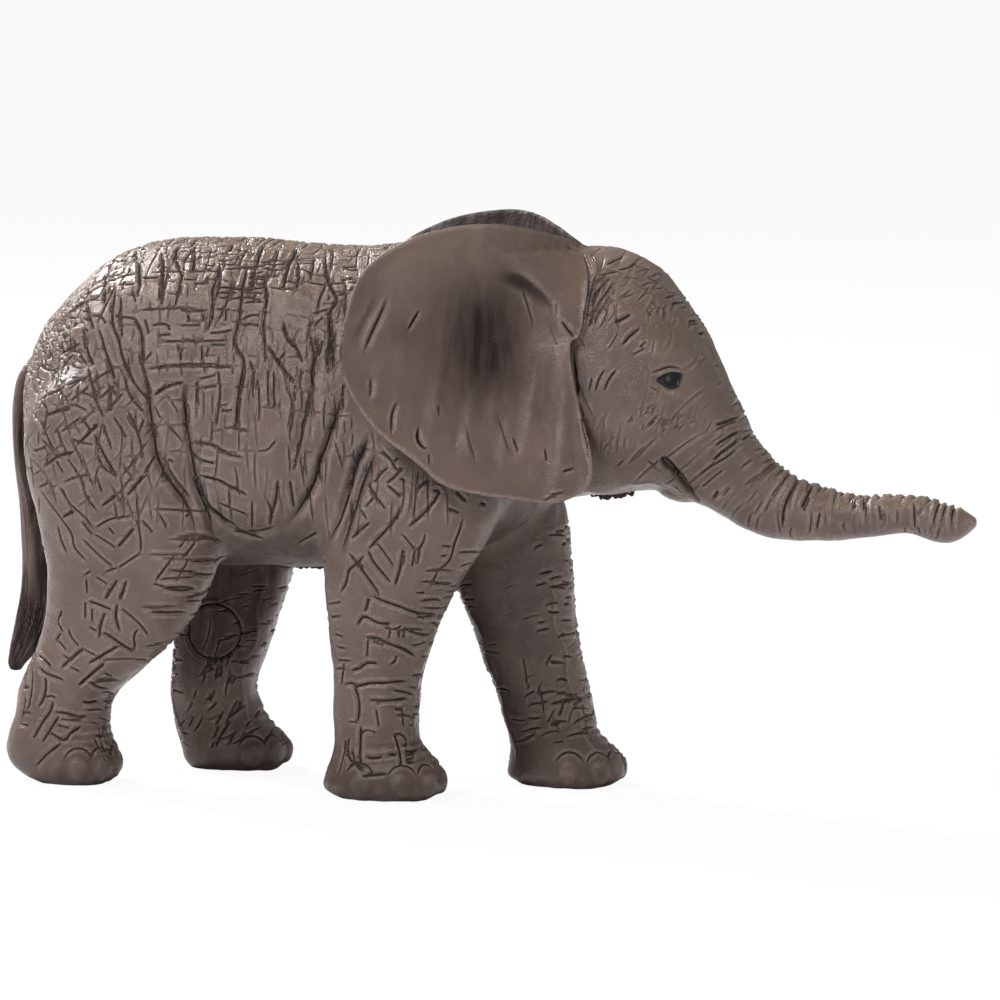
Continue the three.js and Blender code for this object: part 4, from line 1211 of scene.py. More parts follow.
# The rings, most of them only over the top and about a quarter of them far down the sides.
long_rings = 0.28
rng = np.random.default_rng(60)
along = float(trunk_root)
while along < trunk_end - 1.6:
    share = (along - trunk_root) / (trunk_end - trunk_root)
    wide = rng.uniform(85, 125) if rng.random() < long_rings else rng.uniform(42, 72)
    lean = rng.normal(0, 0.15)
    turns = np.radians(np.linspace(-wide * rng.uniform(0.8, 1), wide, 26))
    ring = [on_trunk(along + lean * t, t) for t in turns]
    carve(ring, 0.2, (0.16 + 0.14 * share) * rng.uniform(0.7, 1.2), lip=0.6, ends=0.42)
    crown = [on_trunk(along + lean * t, t) for t in turns[8:-8]]
    carve(crown, 0.3, rng.uniform(0.08, 0.3) * smooth(share, 0.1, 0.3), lip=0.5, ends=0.4)
    along += rng.uniform(0.55, 1.4)
trunk_girth = 3.2
head_girth = 8
trunk, face, crest = (18, trunk_end - 3), (4, 22), (1, 20)
for seed, side in enumerate(((30, 120), (-120, -30)), 61):
    cut_rows(on_trunk, trunk, side, trunk_girth, 0.9, (1.2, 3.2), 0, 0.15, 0.1, seed, 0.45)
    cut_rows(on_trunk, face, side, head_girth, 1.5, (1.5, 4), 0.4, 0.14, 0.07, seed + 5, 0.5)
cut_rows(on_trunk, crest, (-42, 42), head_girth, 1.2, (1.5, 4), 0, 0.18, 0.12, 70, 0.35)
cut_rows(on_trunk, crest, (-42, 42), head_girth, 1.7, (1, 3), 0, 0.16, 0.09, 71, 0.6, False)

# Wrinkles in patches, then the ones that stand out, and the lids, the mouth and the jaw.
for patch in (
    ((601, 300), (14, 40), 62, (12, 36), 16, 0.11, 0.1, 80),
    ((618, 285), (30, 16), 40, (8, 22), 16, 0.11, 0.1, 82),
    ((600, 430), (12, 30), 75, (15, 30), 10, 0.11, 0.07, 83),
    ((652, 280), (22, 14), 15, (8, 18), 12, 0.11, 0.1, 84),
    ((660, 420), (26, 10), 45, (5, 14), 34, 0.11, 0.1, 85),
    ((657, 311), (10, 11), 80, (3, 8), 26, 0.13, 0.12, 86),
):
    hatch(*patch)
head_cuts = [
    ((614, 323, 622, 319, 631, 314), 0.19, 0.32), ((622, 345, 631, 335, 640, 328), 0.16, 0.28),
    ((606, 265, 615, 260, 624, 256), 0.14, 0.24), ((618, 270, 631, 266, 638, 261), 0.13, 0.22),
    ((635, 266, 646, 268, 652, 272), 0.13, 0.18), ((646, 277, 654, 280, 662, 283), 0.12, 0.14),
    ((654, 273, 664, 275), 0.12, 0.14), ((600, 275, 613, 272, 621, 271), 0.12, 0.14),
    ((613, 276, 607, 280, 600, 288, 596, 297, 592, 309), 0.12, 0.2),
    ((615, 279, 610, 287, 604, 296, 597, 307, 592, 318, 588, 330), 0.13, 0.24),
    ((611, 292, 605, 303, 598, 314, 594, 326), 0.13, 0.22), ((595, 262, 592, 254), 0.12, 0.16),
    ((597, 272, 593, 286, 590, 300, 587, 320), 0.12, 0.2),
    ((671, 304, 678, 302, 684, 302), 0.14, 0.2), ((665, 298, 672, 296, 678, 294), 0.12, 0.14),
    ((688, 321, 696, 320), 0.14, 0.22), ((689, 325, 698, 323), 0.12, 0.14),
    ((699, 334, 704, 332), 0.16, 0.3), ((640, 347, 646, 341), 0.12, 0.16),
    ((632, 355, 646, 348), 0.14, 0.1), ((592, 377, 589, 391), 0.12, 0.2),
    ((605, 369, 599, 379, 595, 392), 0.12, 0.22), ((617, 369, 609, 379, 604, 391), 0.13, 0.24),
    ((628, 465, 637, 454, 646, 446), 0.16, 0.1), ((617, 466, 624, 460), 0.14, 0.1),
    ((625, 438, 624, 449), 0.14, 0.08), ((646, 427, 660, 414), 0.12, 0.14),
    ((661, 427, 668, 422), 0.12, 0.14), ((715, 425, 727, 421, 739, 416), 0.14, 0.24),
    ((715, 431, 728, 424, 739, 421), 0.12, 0.14), ((715, 446, 727, 438, 739, 431), 0.14, 0.26),
    ((712, 461, 726, 450, 740, 440), 0.14, 0.24), ((716, 456, 728, 447, 740, 437), 0.12, 0.14),
    ((694, 480, 711, 467, 727, 457, 739, 447), 0.12, 0.16),
    ((700, 489, 713, 478, 726, 468), 0.12, 0.12), ((713, 499, 718, 491), 0.15, 0.26),
    ((723, 496, 730, 488), 0.12, 0.14), ((648, 461, 652, 465, 657, 470), 0.14, 0.14),
    ((745, 427, 754, 421), 0.14, 0.24), ((742, 440, 756, 430), 0.13, 0.2),
    ((782, 529, 784, 511, 793, 489, 799, 482), 0.17, 0.34),
    ((813, 485, 806, 499, 801, 509), 0.17, 0.32), ((810, 497, 804, 512), 0.13, 0.2),
    ((820, 512, 817, 529), 0.14, 0.2), ((864, 495, 864, 511), 0.17, 0.3),
    ((855, 499, 855, 509), 0.13, 0.18), ((879, 505, 881, 522), 0.13, 0.18),
    ((914, 502, 915, 529), 0.14, 0.18),
    ((573, 350, 575, 372, 580, 405, 586, 440, 589, 462), 0.15, 0.26),
    ((589, 274, 588, 294, 585, 314, 583, 327), 0.14, 0.26),
    ((590, 470, 594, 480, 600, 490), 0.14, 0.2),
]
for knots, width, depth in head_cuts:
    carve_both(pictured(knots), width, depth, lip=0.5, ends=0.2)
lids = [
    ((648, 374, 660, 370, 668, 367, 680, 369, 684, 371), 0.14, 0.14, None),
    ((657, 377, 664, 372, 673, 370, 681, 371), 0.16, 0.1, ridge),
    ((660, 387, 668, 393, 678, 391), 0.2, 0.08, ridge),
    ((650, 386, 656, 390, 662, 394), 0.12, 0.1, None),
]
for knots, width, depth, store in lids:
    carve_both(pictured(knots), width, depth, into=store)

mouth = pictured((660, 458, 664, 461, 672, 470, 681, 480, 689, 491, 699, 503))
lower_lip = pictured((672, 483, 679, 491, 687, 498, 695, 503))
jaw = pictured((620, 482, 635, 484, 652, 482, 663, 486, 674, 492, 684, 499))
carve_both(mouth, 0.32, 0.85, lip=0.25, ends=0.12)
carve_both(mouth, 0.6, 0.2, ends=0.2, into=fold)
# Painted shadow along the mouth, over the lower lip.
carve_both(mouth, 0.7, 0.75, ends=0.2, into=painted_shadow)
carve_both(lower_lip, 0.13, 0.18, ends=0.3)
carve_both(jaw, 0.16, 0.16, ends=0.3, into=ridge)

# The creases of the ears: soft folds, some with a cut at the bottom, whose depth comes last. The
# first lies under the folded lobe and is shaded. Faint upright pleats cover the rest.
ear_creases = [
    ((490, 279, 509, 279, 529, 289, 545, 303, 555, 320), 0.6, 0.5, 0),
    ((561, 320, 568, 330, 575, 338), 0.25, 0.3, 0.2),
    ((382, 290, 371, 310, 360, 332, 353, 352), 0.42, 0.34, 0),
    ((390, 292, 382, 312, 370, 338, 362, 360), 0.3, 0.3, 0.12),
    ((420, 309, 414, 320, 407, 332), 0.16, 0.18, 0.22),
    ((371, 376, 370, 399), 0.24, 0.2, 0.12),
    ((400, 398, 394, 409, 392, 438), 0.26, 0.24, 0.14),
    ((419, 425, 419, 441, 425, 448, 429, 448), 0.2, 0.26, 0.28),
    ((439, 403, 440, 418), 0.26, 0.16, 0.08),
    ((465, 421, 471, 443, 478, 467), 0.4, 0.2, 0.08),
    ((495, 407, 505, 436, 515, 461), 0.4, 0.2, 0.08),
    ((513, 436, 519, 454), 0.22, 0.12, 0.12),
    ((545, 447, 547, 463), 0.22, 0.12, 0.12),
    ((429, 452, 430, 465), 0.22, 0.12, 0.1),
    ((538, 400, 546, 430, 550, 456), 0.45, 0.12, 0),
    ((456, 425, 454, 449), 0.35, 0.1, 0),
    ((455, 330, 452, 365, 450, 395), 0.8, 0.18, 0),
    ((478, 320, 476, 360, 474, 400), 0.7, 0.15, 0),
]


def on_other_ear(path):
    """The spots on the left ear that match spots on the right one."""
    one, other = ear_facts["right_ear"], ear_facts["left_ear"]
    moved = []
    for found in path:
        if found is None:
            continue
        spot = found[0]
        back = (ear_notch[0] - spot[0]) / one["length"] * other["length"]
        up = (spot[2] - ear_notch[1]) / one["height"] * other["height"]
        target = (ear_notch[0] - other["set_back"] - back, 20, ear_notch[1] + up)
        moved.append(cast_from(target, (0, -1, 0), 20))
    return moved


for knots, width, depth, cut in ear_creases:
    path = pictured(knots)
    for line in (path, on_other_ear(path)):
        carve(line, width, depth, ends=0.35, into=fold)
        if cut:
            carve(line, 0.13, cut, ends=0.35)
under_lobe = pictured(ear_creases[0][0])
for line in (under_lobe, on_other_ear(under_lobe)):
    carve(line, 0.75, 0.9, ends=0.4, into=painted_shadow)
pleat_count = 110
near_ear_inside = -8
rng = np.random.default_rng(95)
for _ in range(pleat_count):
    px, py = rng.uniform(352, 582), rng.uniform(240, 490)
    tilt = rng.normal(4, 6)
    long = rng.uniform(10, 34)
    path = pictured([(px, py), (px + tilt * 0.5, py + long / 2), (px + tilt, py + long)])
    path = [found for found in path if found is not None and found[0][1] < near_ear_inside]
    force = rng.uniform(0.02, 0.05)
    for line in (path, on_other_ear(path)):
        carve(line, 0.25, force, ends=0.45, into=fold)

# The tail's hair: long cuts down the tuft and faint ones down the stem. Then the mould's own
# marks: low lines where the halves of the body meet along the back and the belly.
tuft_hairs = 40
stem_hairs = 20
rng = np.random.default_rng(97)
for k in range(tuft_hairs + stem_hairs):
    behind = rng.uniform(-1, 1)
    side = rng.choice([-1, 1])
    in_tuft = k < tuft_hairs
    span = (0.6, 0.85, 0.88, 0.99) if in_tuft else (0.1, 0.5, 0.3, 0.7)
    drops = np.linspace(rng.uniform(*span[:2]), rng.uniform(*span[2:]), 14)
    line = []
    for drop, (back, deep, wide) in zip(drops, course(tail_rows, drops)):
        x = tail_root[0] - back * tail_length + behind * deep * tail_width / 2
        line.append(cast_from((x, side * 4, tail_root[1] - drop * tail_length), (0, -side, 0), 4))
    carve(line, 0.12, 0.12 if in_tuft else 0.06)

for x in np.arange(-40, 10, cut_step * 2):
    steps = (x, x + cut_step, x + 2 * cut_step)
    for line in (
        [cast_from((step, 0, 60), (0, 0, -1), 25) for step in steps],
        [cast_from((step, 0, 10), (0, 0, 1), 15) for step in steps],
    ):
        carve(line, 0.13, 0.07, ends=0, into=ridge)

lip_giving_way = 0.06
sole_height = 0.25
lips *= 1 - np.clip(groove / lip_giving_way, 0, 1)
carved = ridge + lips - groove - fold
carved = np.where(points[:, 2] < sole_height, np.minimum(carved, 0), carved)
points = points + facing * carved[:, None]
points[:, 2] = np.maximum(points[:, 2], 0)
facing = facings()

# The paint: the vinyl is grey-brown, with a dark wash that stays in the cuts and painted shade in
# the folds and hollows, pale painted highlights on the ridges, dark airbrush and painted shade in
# the ears and between the limbs, olive over the back that is lighter as a painted light where it
# faces up, and brown on the brow.
skin_tree = BVHTree.FromPolygons(points.tolist(), quads.tolist())
hollowed = ((soften(points, 1, 5) - points) * facing).sum(1)
# The dark wash in the cuts, with painted shade in the folds and the hollows.
wash_and_shade = 0.14 * smooth(groove, 0.05, 0.25) + 0.9 * smooth(groove, 0.28, 0.5)
wash_and_shade = wash_and_shade + 0.45 * smooth(fold, 0.1, 0.6)
wash_and_shade = soften(np.clip(wash_and_shade + 0.5 * smooth(hollowed, 0.02, 0.09), 0, 1), 0.4, 1)
# A pale painted highlight on the ridges, where the skin bulges.
ridge_highlight = smooth(-hollowed, 0.004, 0.05)

x, y, z = points.T
broad = soften(facing, 1, 8)
outward = broad[:, 1] * np.sign(y)
# The shade layer: dark airbrush and painted shade together, starting from the painted shadow under
# the ear's lobe and the lower lip.
shade = painted_shadow.copy()
ear_top_tan_and_light = np.zeros(count)

# On the ears: a cloud of dark paint and painted shade in the hollow, painted shade on the inner
# face.
fully_dark = 1.3
for ear_name, ear in ear_facts.items():
    mine = nearest_form == form_names.index(ear_name)
    back = (ear_notch[0] - ear["set_back"] - x) / ear["length"]
    up = (z - ear_notch[1]) / ear["height"]
    hollow = 0.55 * np.exp(-((back - 0.37) / 0.13) ** 2 - ((up + 0.03) / 0.2) ** 2)
    cloud = 0.6 * np.exp(-((back - 0.42) / 0.3) ** 2 - ((up + 0.02) / 0.27) ** 2)
    outside = np.maximum(np.clip(hollow + cloud, 0, 0.97), painted_shadow)
    shade = np.where(mine, np.where(outward > 0.1, outside, fully_dark), shade)
    # Along the top of the outer face, a tan band that is also a painted highlight.
    ear_top_tan_and_light = np.maximum(ear_top_tan_and_light, mine * (outward > 0.1) * smooth(z, 48.5, 52.5))

# On the legs: painted shade on inner faces, the far ones above all; every foot darker to the sole.
for leg_name, leg in leg_facts.items():
    mine = nearest_form == form_names.index(leg_name)
    middle_x, _, half_long, _ = leg_sizes(leg, np.clip(z, 0, 0.87 * leg_height))
    ahead = (x - middle_x) / half_long
    inner = smooth(-outward, 0.1, 0.7)
    deep = smooth(ahead, -0.15, -0.75) if leg_name == "left_fore_leg" else smooth(z, 5, 13)
    inside = (0.05 + 0.75 * deep) * inner if leg["side"] > 0 else 0.15 * inner
    foot = 0.03 + 0.42 * smooth(z, 9, 1)
    shade = np.where(mine, np.maximum(inside, foot), shade)

# Painted shade under the belly and on the tail's edge next to the body; the tuft is darker.
under = of_torso * smooth(-broad[:, 2], 0.35, 0.95)
shade = np.maximum(shade, 0.6 * under)
drop = np.clip((tail_root[1] - z) / tail_length, 0, 1)
tail_back, tail_deep, _ = course(tail_rows, drop).T
ahead = (x - tail_root[0] + tail_back * tail_length) / (tail_deep * tail_width / 2)
hair = smooth(drop, 0.66, 0.85)
shade = np.where(of_tail, np.maximum(0.3 + 0.9 * hair, 1.1 * smooth(ahead, -0.3, 0.05)), shade)

# The olive lies on what faces up and on the tops of the ears, lighter than the grey as a painted
# light from above; the brown lies on the brow.
olive_and_top_light = smooth(broad[:, 2], 0.05, 0.75) * (of_torso | of_head | of_ear)
olive_and_top_light = np.maximum(olive_and_top_light, 0.75 * ear_top_tan_and_light)
brow = of_head * smooth(np.abs(broad[:, 1]), 0.84, 0.7) * smooth(broad[:, 2], -0.3, 0.1)
brow = brow * smooth(x, 13, 18) * smooth(x, 34, 27)
shade = np.clip(soften(shade, 0.6, 8), 0, 1)
olive_and_top_light = soften(olive_and_top_light, 0.6, 12)
brow = soften(brow, 0.6, 4)

mm_per_metre = 1000
hide_grey = (0.128, 0.085, 0.069)
hide_plum = (0.096, 0.061, 0.053)
olive_and_light_tint = (0.158, 0.106, 0.073)
brow_brown = (0.115, 0.079, 0.058)
wash_and_shade_brown = (0.03, 0.019, 0.016)
shade_brown = (0.021, 0.0125, 0.0115)
highlight_grey = (0.315, 0.24, 0.213)


def painted_hide(name, roughness):
    """Vinyl with its coats of paint, laid by the attributes of the sculpt."""
    material = bpy.data.materials.new(name)
    material.use_nodes = True
    nodes, wires = material.node_tree.nodes, material.node_tree.links
    shader = nodes["Principled BSDF"]

    def made(kind, given, numbers, sources, **settings):
        """A node with its settings, its numbers and the wires into it, as the socket it gives."""
        node = nodes.new(kind)
        for setting, choice in settings.items():
            setattr(node, setting, choice)
        for socket, number in numbers.items():
            node.inputs[socket].default_value = number
        for socket, source in sources.items():
            wires.new(source, node.inputs[socket])
        return node.outputs[given]

    def painted(attribute):
        return made("ShaderNodeAttribute", "Fac", {}, {}, attribute_name=attribute)

    def stretched(place, scale):
        return made("ShaderNodeMapping", "Vector", {"Scale": scale}, {"Vector": place})

    def speckle(scale, detail, place):
        numbers = {"Scale": scale, "Detail": detail}
        return made("ShaderNodeTexNoise", "Fac", numbers, {"Vector": place})

    def ranged(value, low, high, bottom=0, top=1, way="LINEAR"):
        numbers = {"From Min": low, "From Max": high, "To Min": bottom, "To Max": top}
        return made("ShaderNodeMapRange", "Result", numbers, {"Value": value},
                    interpolation_type=way)

    def eased(value, low, high):
        return ranged(value, low, high, way="SMOOTHSTEP")

    def times(one, other):
        return made("ShaderNodeMath", "Value", {}, {0: one, 1: other}, operation="MULTIPLY")

    def times_and(one, number, added):
        return made("ShaderNodeMath", "Value", {1: number}, {0: one, 2: added},
                    operation="MULTIPLY_ADD")

    def coat(under, colour, amount):
        numbers, sources = {7: (*colour, 1)}, {"Factor": amount}
        if isinstance(under, tuple):
            numbers[6] = (*under, 1)
        else:
            sources[6] = under
        return made("ShaderNodeMix", 2, numbers, sources, data_type="RGBA")

    def pressed(height, strength, distance, **under):
        numbers = {"Strength": strength, "Distance": distance}
        return made("ShaderNodeBump", "Normal", numbers, {"Height": height, **under})

    place = nodes.new("ShaderNodeTexCoord").outputs["Object"]
    place = stretched(place, (mm_per_metre,) * 3)
    patches = ranged(speckle(0.9, 4, place), 0.35, 0.7, 0.45, 1)
    fine = speckle(7, 5, place)

    # The coats: two greys in blotches, olive above with a painted light, brown on the brow, a pale
    # painted highlight on the ridges, the dark airbrush and painted shade in streaks that run
    # down, and the dark wash with painted shade in the folds.
    colour = coat(hide_grey, hide_plum, ranged(speckle(0.22, 3, place), 0.35, 0.65))
    colour = coat(colour, olive_and_light_tint, times(painted("olive_and_top_light"), patches))
    brow_patches = ranged(speckle(1.3, 4, place), 0.3, 0.5, 0.4, 1)
    colour = coat(colour, brow_brown, times(painted("brow"), brow_patches))
    highlight_spots = ranged(fine, 0.35, 0.7, 0.1, 0.75)
    colour = coat(colour, highlight_grey, times(painted("ridge_highlight"), highlight_spots))
    streaks = ranged(speckle(1.2, 4, stretched(place, (1.1, 1.1, 0.16))), 0.35, 0.65, 0.78, 1.08)
    shaded = times(painted("shade"), streaks)
    colour = coat(colour, shade_brown, shaded)
    colour = coat(colour, wash_and_shade_brown, painted("wash_and_shade"))

    # Each cut's own bottom, dark and sharp with wash and painted shade, and its rim, a painted
    # highlight.
    aside = made("ShaderNodeMath", "Value", {}, {0: painted("cut_side")}, operation="ABSOLUTE")
    away = painted("cut_away")
    force = eased(painted("cut_force"), 0.01, 0.18)
    bottom = times(times(eased(aside, 0.075, 0.015), eased(away, 0.2, 0.13)), force)
    rim = times(times(eased(aside, 0.05, 0.12), eased(away, 0.28, 0.17)), force)
    colour = coat(colour, highlight_grey, times(rim, ranged(fine, 0.3, 0.7, 0.1, 0.5)))
    colour = coat(colour, wash_and_shade_brown, times(bottom, ranged(patches, 0.45, 1, 0.42, 0.2)))
    wires.new(colour, shader.inputs["Base Color"])

    # The paint shines most where it is thin, and is matt where it is shaded.
    sheen = ranged(patches, 0.45, 1, roughness + 0.08, roughness - 0.06)
    wires.new(times_and(shaded, 0.25, sheen), shader.inputs["Roughness"])
    wires.new(ranged(shaded, 0, 1, 0.45, 0.08), shader.inputs["Specular IOR Level"])

    # The grain of the skin, from the smallest: cracks between pores, dimples and grit. The cuts
    # are pressed in over them.
    pores = made("ShaderNodeTexVoronoi", "Distance", {"Scale": 1.5}, {"Vector": place},
                 feature="DISTANCE_TO_EDGE")
    relief = pressed(ranged(pores, 0, 0.12), 0.25, 0.00004)
    relief = pressed(speckle(0.75, 2, place), 0.5, 0.0003, Normal=relief)
    relief = pressed(fine, 0.7, 0.0001, Normal=relief)
    profile = times_and(rim, 0.6, ranged(bottom, 0, 1, 0, -1))
    relief = pressed(profile, 1, 0.00013, Normal=relief)
    wires.new(relief, shader.inputs["Normal"])
    return material


hide_paint = painted_hide("painted_hide", 0.3)

# The mouldings: the sculpt is parted where they meet, and each part is closed behind its edge, as
# the real ones are by their spigots. The plug is the round of the far hind leg's inner face.
members = np.stack([nearest_form == k for k in range(len(form_names))], 1).astype(float)
members = soften(members, 0.5, 8)
quad_form = members[quads].sum(1).argmax(1)
middles = points[quads].mean(1)
part_of = {name: quad_form == form_names.index(name) for name in form_names if name != "torso"}
torso_part = quad_form == form_names.index("torso")
part_of["torso_right_half"] = torso_part & (middles[:, 1] < 0)
part_of["torso_left_half"] = torso_part & (middles[:, 1] >= 0)
plug_away = np.hypot(middles[:, 0] - plug_x, middles[:, 2] - plug_height)
on_plug = part_of["left_hind_leg"] & (plug_away < plug_radius) & (middles[:, 1] < plug_out)
part_of["hind_leg_plug"] = on_plug
part_of["left_hind_leg"] &= ~on_plug


def edge_loops(faces):
    """The closed chains of corners along the open edges of some faces."""
    starts = faces.reshape(-1)
    ends = np.roll(faces, -1, axis=1).reshape(-1)
    open_edge = ~np.isin(starts * count + ends, ends * count + starts)
    onward = {}
    for a, b in zip(starts[open_edge].tolist(), ends[open_edge].tolist()):
        onward.setdefault(a, []).append(b)
    loops = []
    while onward:
        first = next(iter(onward))
        chain, here = [], first
        while here in onward:
            chain.append(here)
            after = onward[here].pop()
            if not onward[here]:
                del onward[here]
            here = after
        loops.append(chain)
    return loops


paint_layers = {"wash_and_shade": wash_and_shade, "ridge_highlight": ridge_highlight, "shade": shade, "olive_and_top_light": olive_and_top_light, "brow": brow,
                "cut_side": cut_side, "cut_away": cut_away, "cut_force": cut_force}


def part_piece(name, mask):
    """One moulding as a closed mesh in metres, with the sculpt's own facings and paint."""
    faces = quads[mask]
    loops = edge_loops(faces)
    used = np.unique(faces)
    index = np.full(count, -1)
    index[used] = np.arange(len(used))
    hubs = np.array([points[loop].mean(0) for loop in loops]).reshape(-1, 3)
    caps = [
        [int(index[b]), int(index[a]), len(used) + k]
        for k, loop in enumerate(loops) for a, b in zip(loop, loop[1:] + loop[:1])
    ]
    mesh = bpy.data.meshes.new(name)
    corners = np.concatenate([points[used], hubs]) * MM
    mesh.from_pydata(corners.tolist(), [], index[faces].tolist() + caps)
    for label, values in paint_layers.items():
        layer = mesh.attributes.new(label, "FLOAT", "POINT")
        layer.data.foreach_set("value", np.concatenate([values[used], np.zeros(len(hubs))]))
    mesh.shade_smooth()
    normals = np.concatenate([facing[used], np.tile([0, 0, 1], (len(hubs), 1))])
    mesh.normals_split_custom_set_from_vertices(normals.tolist())
    mesh.materials.append(hide_paint)
    return set_out(name, mesh)


for node, mask in part_of.items():
    piece = part_piece("skin_" + node, mask)
    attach(piece, "root")
    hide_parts(node)

# The eyes: a drop of glossy black paint in each socket, narrow behind and blunt in front. It is
# dabbed on over the finished hide and rounds up as it dries.
eye_outline = [(656, 380), (663, 375), (673, 372), (682, 374), (680, 381), (678, 387),
               (669, 389), (661, 384)]
eye_middle = np.array([671, 380])
eye_rise = 0.22
eye_edge = 0.06
eye_depth = 0.3


def soften_rings(rings):
    """Evens out the rings, point by point round each."""
    for _ in range(4):
        rings = (np.roll(rings, 1, 1) + rings * 2 + np.roll(rings, -1, 1)) / 4
    return rings


def eye_drop(name, side):
    """A drop of paint that stands on the skin and reaches a little way into it."""
    rim = closed_curve(eye_outline, 48)
    front, behind = [], []
    for reach in np.linspace(0.03, 1.02, 14):
        domed = eye_rise * math.sqrt(max(0, 1 - min(reach, 1) ** 2)) + eye_edge
        found = [from_outside(*(eye_middle + (p - eye_middle) * reach)) for p in rim]
        if side > 0:
            found = [on_other_side(f) for f in found]
        front.append([spot + normal * domed for spot, normal in found])
        behind.append([spot - normal * eye_depth for spot, normal in found])
    rings = soften_rings(np.array(front + behind[::-1]))
    mesh = bpy.data.meshes.new(name)
    rows, around = rings.shape[:2]
    faces = ring_faces(rows, around)
    faces += [list(range(around))[::-1], list(range((rows - 1) * around, rows * around))]
    if side > 0:
        faces = [face[::-1] for face in faces]
    mesh.from_pydata((rings.reshape(-1, 3) * MM).tolist(), [], faces)
    mesh.shade_smooth()
    return mesh


eye_paint = bpy.data.materials.new("eye_paint")
eye_paint.use_nodes = True
eye_nodes, eye_wires = eye_paint.node_tree.nodes, eye_paint.node_tree.links
eye_shader = eye_nodes["Principled BSDF"]
eye_shader.inputs["Specular IOR Level"].default_value = 0.3
eye_place = eye_nodes.new("ShaderNodeTexCoord")
eye_cloud = eye_nodes.new("ShaderNodeTexNoise")
eye_cloud.inputs["Scale"].default_value = 900
eye_wires.new(eye_place.outputs["Object"], eye_cloud.inputs["Vector"])
eye_tone = eye_nodes.new("ShaderNodeMix")
eye_tone.data_type = "RGBA"
eye_tone.inputs[6].default_value = (0.004, 0.004, 0.005, 1)
eye_tone.inputs[7].default_value = (0.014, 0.015, 0.017, 1)
eye_wires.new(eye_cloud.outputs["Fac"], eye_tone.inputs["Factor"])
eye_wires.new(eye_tone.outputs[2], eye_shader.inputs["Base Color"])
eye_sheen = eye_nodes.new("ShaderNodeMapRange")
eye_sheen.inputs["To Min"].default_value = 0.1
eye_sheen.inputs["To Max"].default_value = 0.28
eye_wires.new(eye_cloud.outputs["Fac"], eye_sheen.inputs["Value"])
eye_wires.new(eye_sheen.outputs["Result"], eye_shader.inputs["Roughness"])
for name, side in (("right_eye_paint", -1), ("left_eye_paint", 1)):
    mesh = eye_drop(name, side)
    mesh.materials.append(eye_paint)
    eye = set_out(name, mesh)
    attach(eye, "root")

# The flash: a ragged edge of vinyl squeezed out where the halves of the mould press together. It
# is left along the belly and under the chin, of one piece with the skin. Each run is a row of
# small torn burrs along the seam.
burr_tree = bpy.data.node_groups.new("burrs", "GeometryNodeTree")
burr_tree.is_modifier = True
for label, kind in (("Seam", "NodeSocketGeometry"), ("Burr Size", "NodeSocketFloat"),
                    ("Spacing", "NodeSocketFloat"), ("Seed", "NodeSocketInt"),
                    ("Material", "NodeSocketMaterial")):
    burr_tree.interface.new_socket(label, in_out="INPUT", socket_type=kind)
burr_tree.interface.new_socket("Burrs", in_out="OUTPUT", socket_type="NodeSocketGeometry")
tree_nodes, tree_wires = burr_tree.nodes, burr_tree.links
asked = tree_nodes.new("NodeGroupInput")
seam_curve = tree_nodes.new("GeometryNodeMeshToCurve")
seam_steps = tree_nodes.new("GeometryNodeResampleCurve")
seam_steps.mode = "LENGTH"
burr_shape = tree_nodes.new("GeometryNodeMeshIcoSphere")
burr_shape.inputs["Subdivisions"].default_value = 2
burr_sizes = tree_nodes.new("FunctionNodeRandomValue")
burr_sizes.data_type = "FLOAT_VECTOR"
burr_sizes.inputs[0].default_value = (0.6, 0.25, 0.4)
burr_sizes.inputs[1].default_value = (1.8, 0.6, 2.1)
burr_turns = tree_nodes.new("FunctionNodeRandomValue")
burr_turns.data_type = "FLOAT_VECTOR"
burr_turns.inputs[0].default_value = (-0.4, -0.6, -0.4)
burr_turns.inputs[1].default_value = (0.4, 0.6, 0.4)
planted = tree_nodes.new("GeometryNodeInstanceOnPoints")
realized = tree_nodes.new("GeometryNodeRealizeInstances")
dressed = tree_nodes.new("GeometryNodeSetMaterial")
given = tree_nodes.new("NodeGroupOutput")
for start, end in (
    (asked.outputs["Seam"], seam_curve.inputs["Mesh"]),
    (seam_curve.outputs["Curve"], seam_steps.inputs["Curve"]),
    (asked.outputs["Spacing"], seam_steps.inputs["Length"]),
    (seam_steps.outputs["Curve"], planted.inputs["Points"]),
    (asked.outputs["Burr Size"], burr_shape.inputs["Radius"]),
    (burr_shape.outputs["Mesh"], planted.inputs["Instance"]),
    (asked.outputs["Seed"], burr_sizes.inputs["Seed"]),
    (asked.outputs["Seed"], burr_turns.inputs["Seed"]),
    (burr_sizes.outputs[0], planted.inputs["Scale"]),
    (burr_turns.outputs[0], planted.inputs["Rotation"]),
    (planted.outputs["Instances"], realized.inputs["Geometry"]),
    (realized.outputs["Geometry"], dressed.inputs["Geometry"]),
    (asked.outputs["Material"], dressed.inputs["Material"]),
    (dressed.outputs["Geometry"], given.inputs["Burrs"]),
):
    tree_wires.new(start, end)
burr_input = {item.name: item.identifier for item in burr_tree.interface.items_tree
              if item.in_out == "INPUT"}
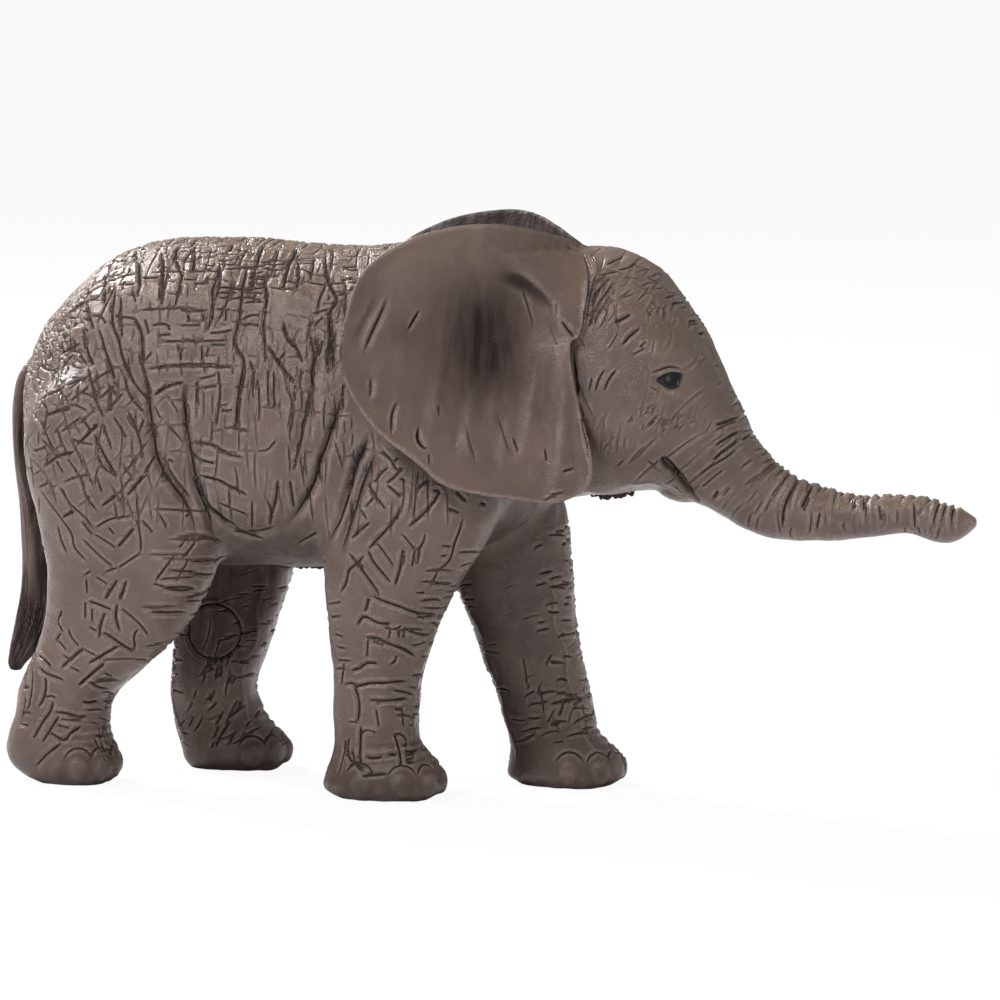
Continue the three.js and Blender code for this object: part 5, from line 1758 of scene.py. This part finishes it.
# The flash is darkened with painted shade, as it hangs under the belly and the chin.
flash_shade = 0.8
for name, start, end, below, burr_size, seed in (
    ("belly_flash", -27, -15.5, 8, 0.17, 3),
    ("chin_flash", 10.3, 14.3, 20, 0.24, 5),
):
    places = [cast_from((x, 0, below), (0, 0, 1), 24) for x in np.arange(start, end, 0.3)]
    seam = bpy.data.meshes.new(name)
    seam_spots = [((spot + normal * 0.5 * burr_size) * MM).tolist() for spot, normal in places]
    seam.from_pydata(seam_spots, [(k, k + 1) for k in range(len(places) - 1)], [])
    run = set_out(name, seam)
    grown = run.modifiers.new("burrs", "NODES")
    grown.node_group = burr_tree
    grown[burr_input["Burr Size"]] = burr_size * MM
    grown[burr_input["Spacing"]] = 1.5 * burr_size * MM
    grown[burr_input["Seed"]] = seed
    grown[burr_input["Material"]] = hide_paint
    evaluated = run.evaluated_get(bpy.context.evaluated_depsgraph_get())
    burrs = bpy.data.meshes.new_from_object(evaluated)
    run.modifiers.clear()
    run.data = burrs
    burrs.shade_smooth()
    layer = burrs.attributes.new("shade", "FLOAT", "POINT")
    layer.data.foreach_set("value", np.full(len(burrs.vertices), flash_shade))
    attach(run, "root")

# The studio: a white sweep that the camera sees as paper, a soft light high on the left in front,
# a smaller one behind the rump for the glints, and a weak one on the right.
floor_size = 80
floor_glow = 0.93
sky_strength = 0.34
studio_middle = Vector((-0.005, 0, 0.03))
floor_mesh = bpy.data.meshes.new("floor")
half = floor_size / 2
floor_mesh.from_pydata(
    [(-half, -half, 0), (half, -half, 0), (half, half, 0), (-half, half, 0)], [], [[0, 1, 2, 3]],
)
floor = set_out("floor", floor_mesh)
paper = bpy.data.materials.new("paper")
paper.use_nodes = True
paper_nodes, paper_wires = paper.node_tree.nodes, paper.node_tree.links
paper_nodes["Principled BSDF"].inputs["Base Color"].default_value = (0.8, 0.8, 0.8, 1)
paper_nodes["Principled BSDF"].inputs["Roughness"].default_value = 1
paper_nodes["Principled BSDF"].inputs["Specular IOR Level"].default_value = 0
glow = paper_nodes.new("ShaderNodeEmission")
seen_by = paper_nodes.new("ShaderNodeLightPath")
share = paper_nodes.new("ShaderNodeMath")
share.operation = "MULTIPLY"
share.inputs[1].default_value = floor_glow
blend = paper_nodes.new("ShaderNodeMixShader")
paper_wires.new(seen_by.outputs["Is Camera Ray"], share.inputs[0])
paper_wires.new(share.outputs["Value"], blend.inputs["Fac"])
paper_wires.new(paper_nodes["Principled BSDF"].outputs["BSDF"], blend.inputs[1])
paper_wires.new(glow.outputs["Emission"], blend.inputs[2])
paper_wires.new(blend.outputs["Shader"], paper_nodes["Material Output"].inputs["Surface"])
floor_mesh.materials.append(paper)

world = bpy.data.worlds.new("studio")
bpy.context.scene.world = world
world.use_nodes = True
sky_nodes, sky_wires = world.node_tree.nodes, world.node_tree.links
sky = sky_nodes["Background"]
sky.inputs["Color"].default_value = (1, 1, 1, 1)
sky_seen = sky_nodes.new("ShaderNodeLightPath")
sky_level = sky_nodes.new("ShaderNodeMapRange")
sky_level.inputs["To Min"].default_value = sky_strength
sky_level.inputs["To Max"].default_value = 1
sky_wires.new(sky_seen.outputs["Is Camera Ray"], sky_level.inputs["Value"])
sky_wires.new(sky_level.outputs["Result"], sky.inputs["Strength"])

lamps = [
    ("key_light", (-0.35, -0.62, 0.72), 0.16, 7),
    ("rim_light", (-0.55, 0.34, 0.56), 0.1, 10),
    ("side_light", (0.9, -0.2, 0.35), 0.4, 1.5),
]
for name, place, size, power in lamps:
    lamp_data = bpy.data.lights.new(name, "AREA")
    lamp_data.size = size
    lamp_data.energy = power
    lamp = set_out(name, lamp_data)
    lamp.location = place
    aim = studio_middle - lamp.location
    lamp.rotation_euler = aim.to_track_quat("-Z", "Y").to_euler()

bpy.context.scene.view_settings.view_transform = "Standard"
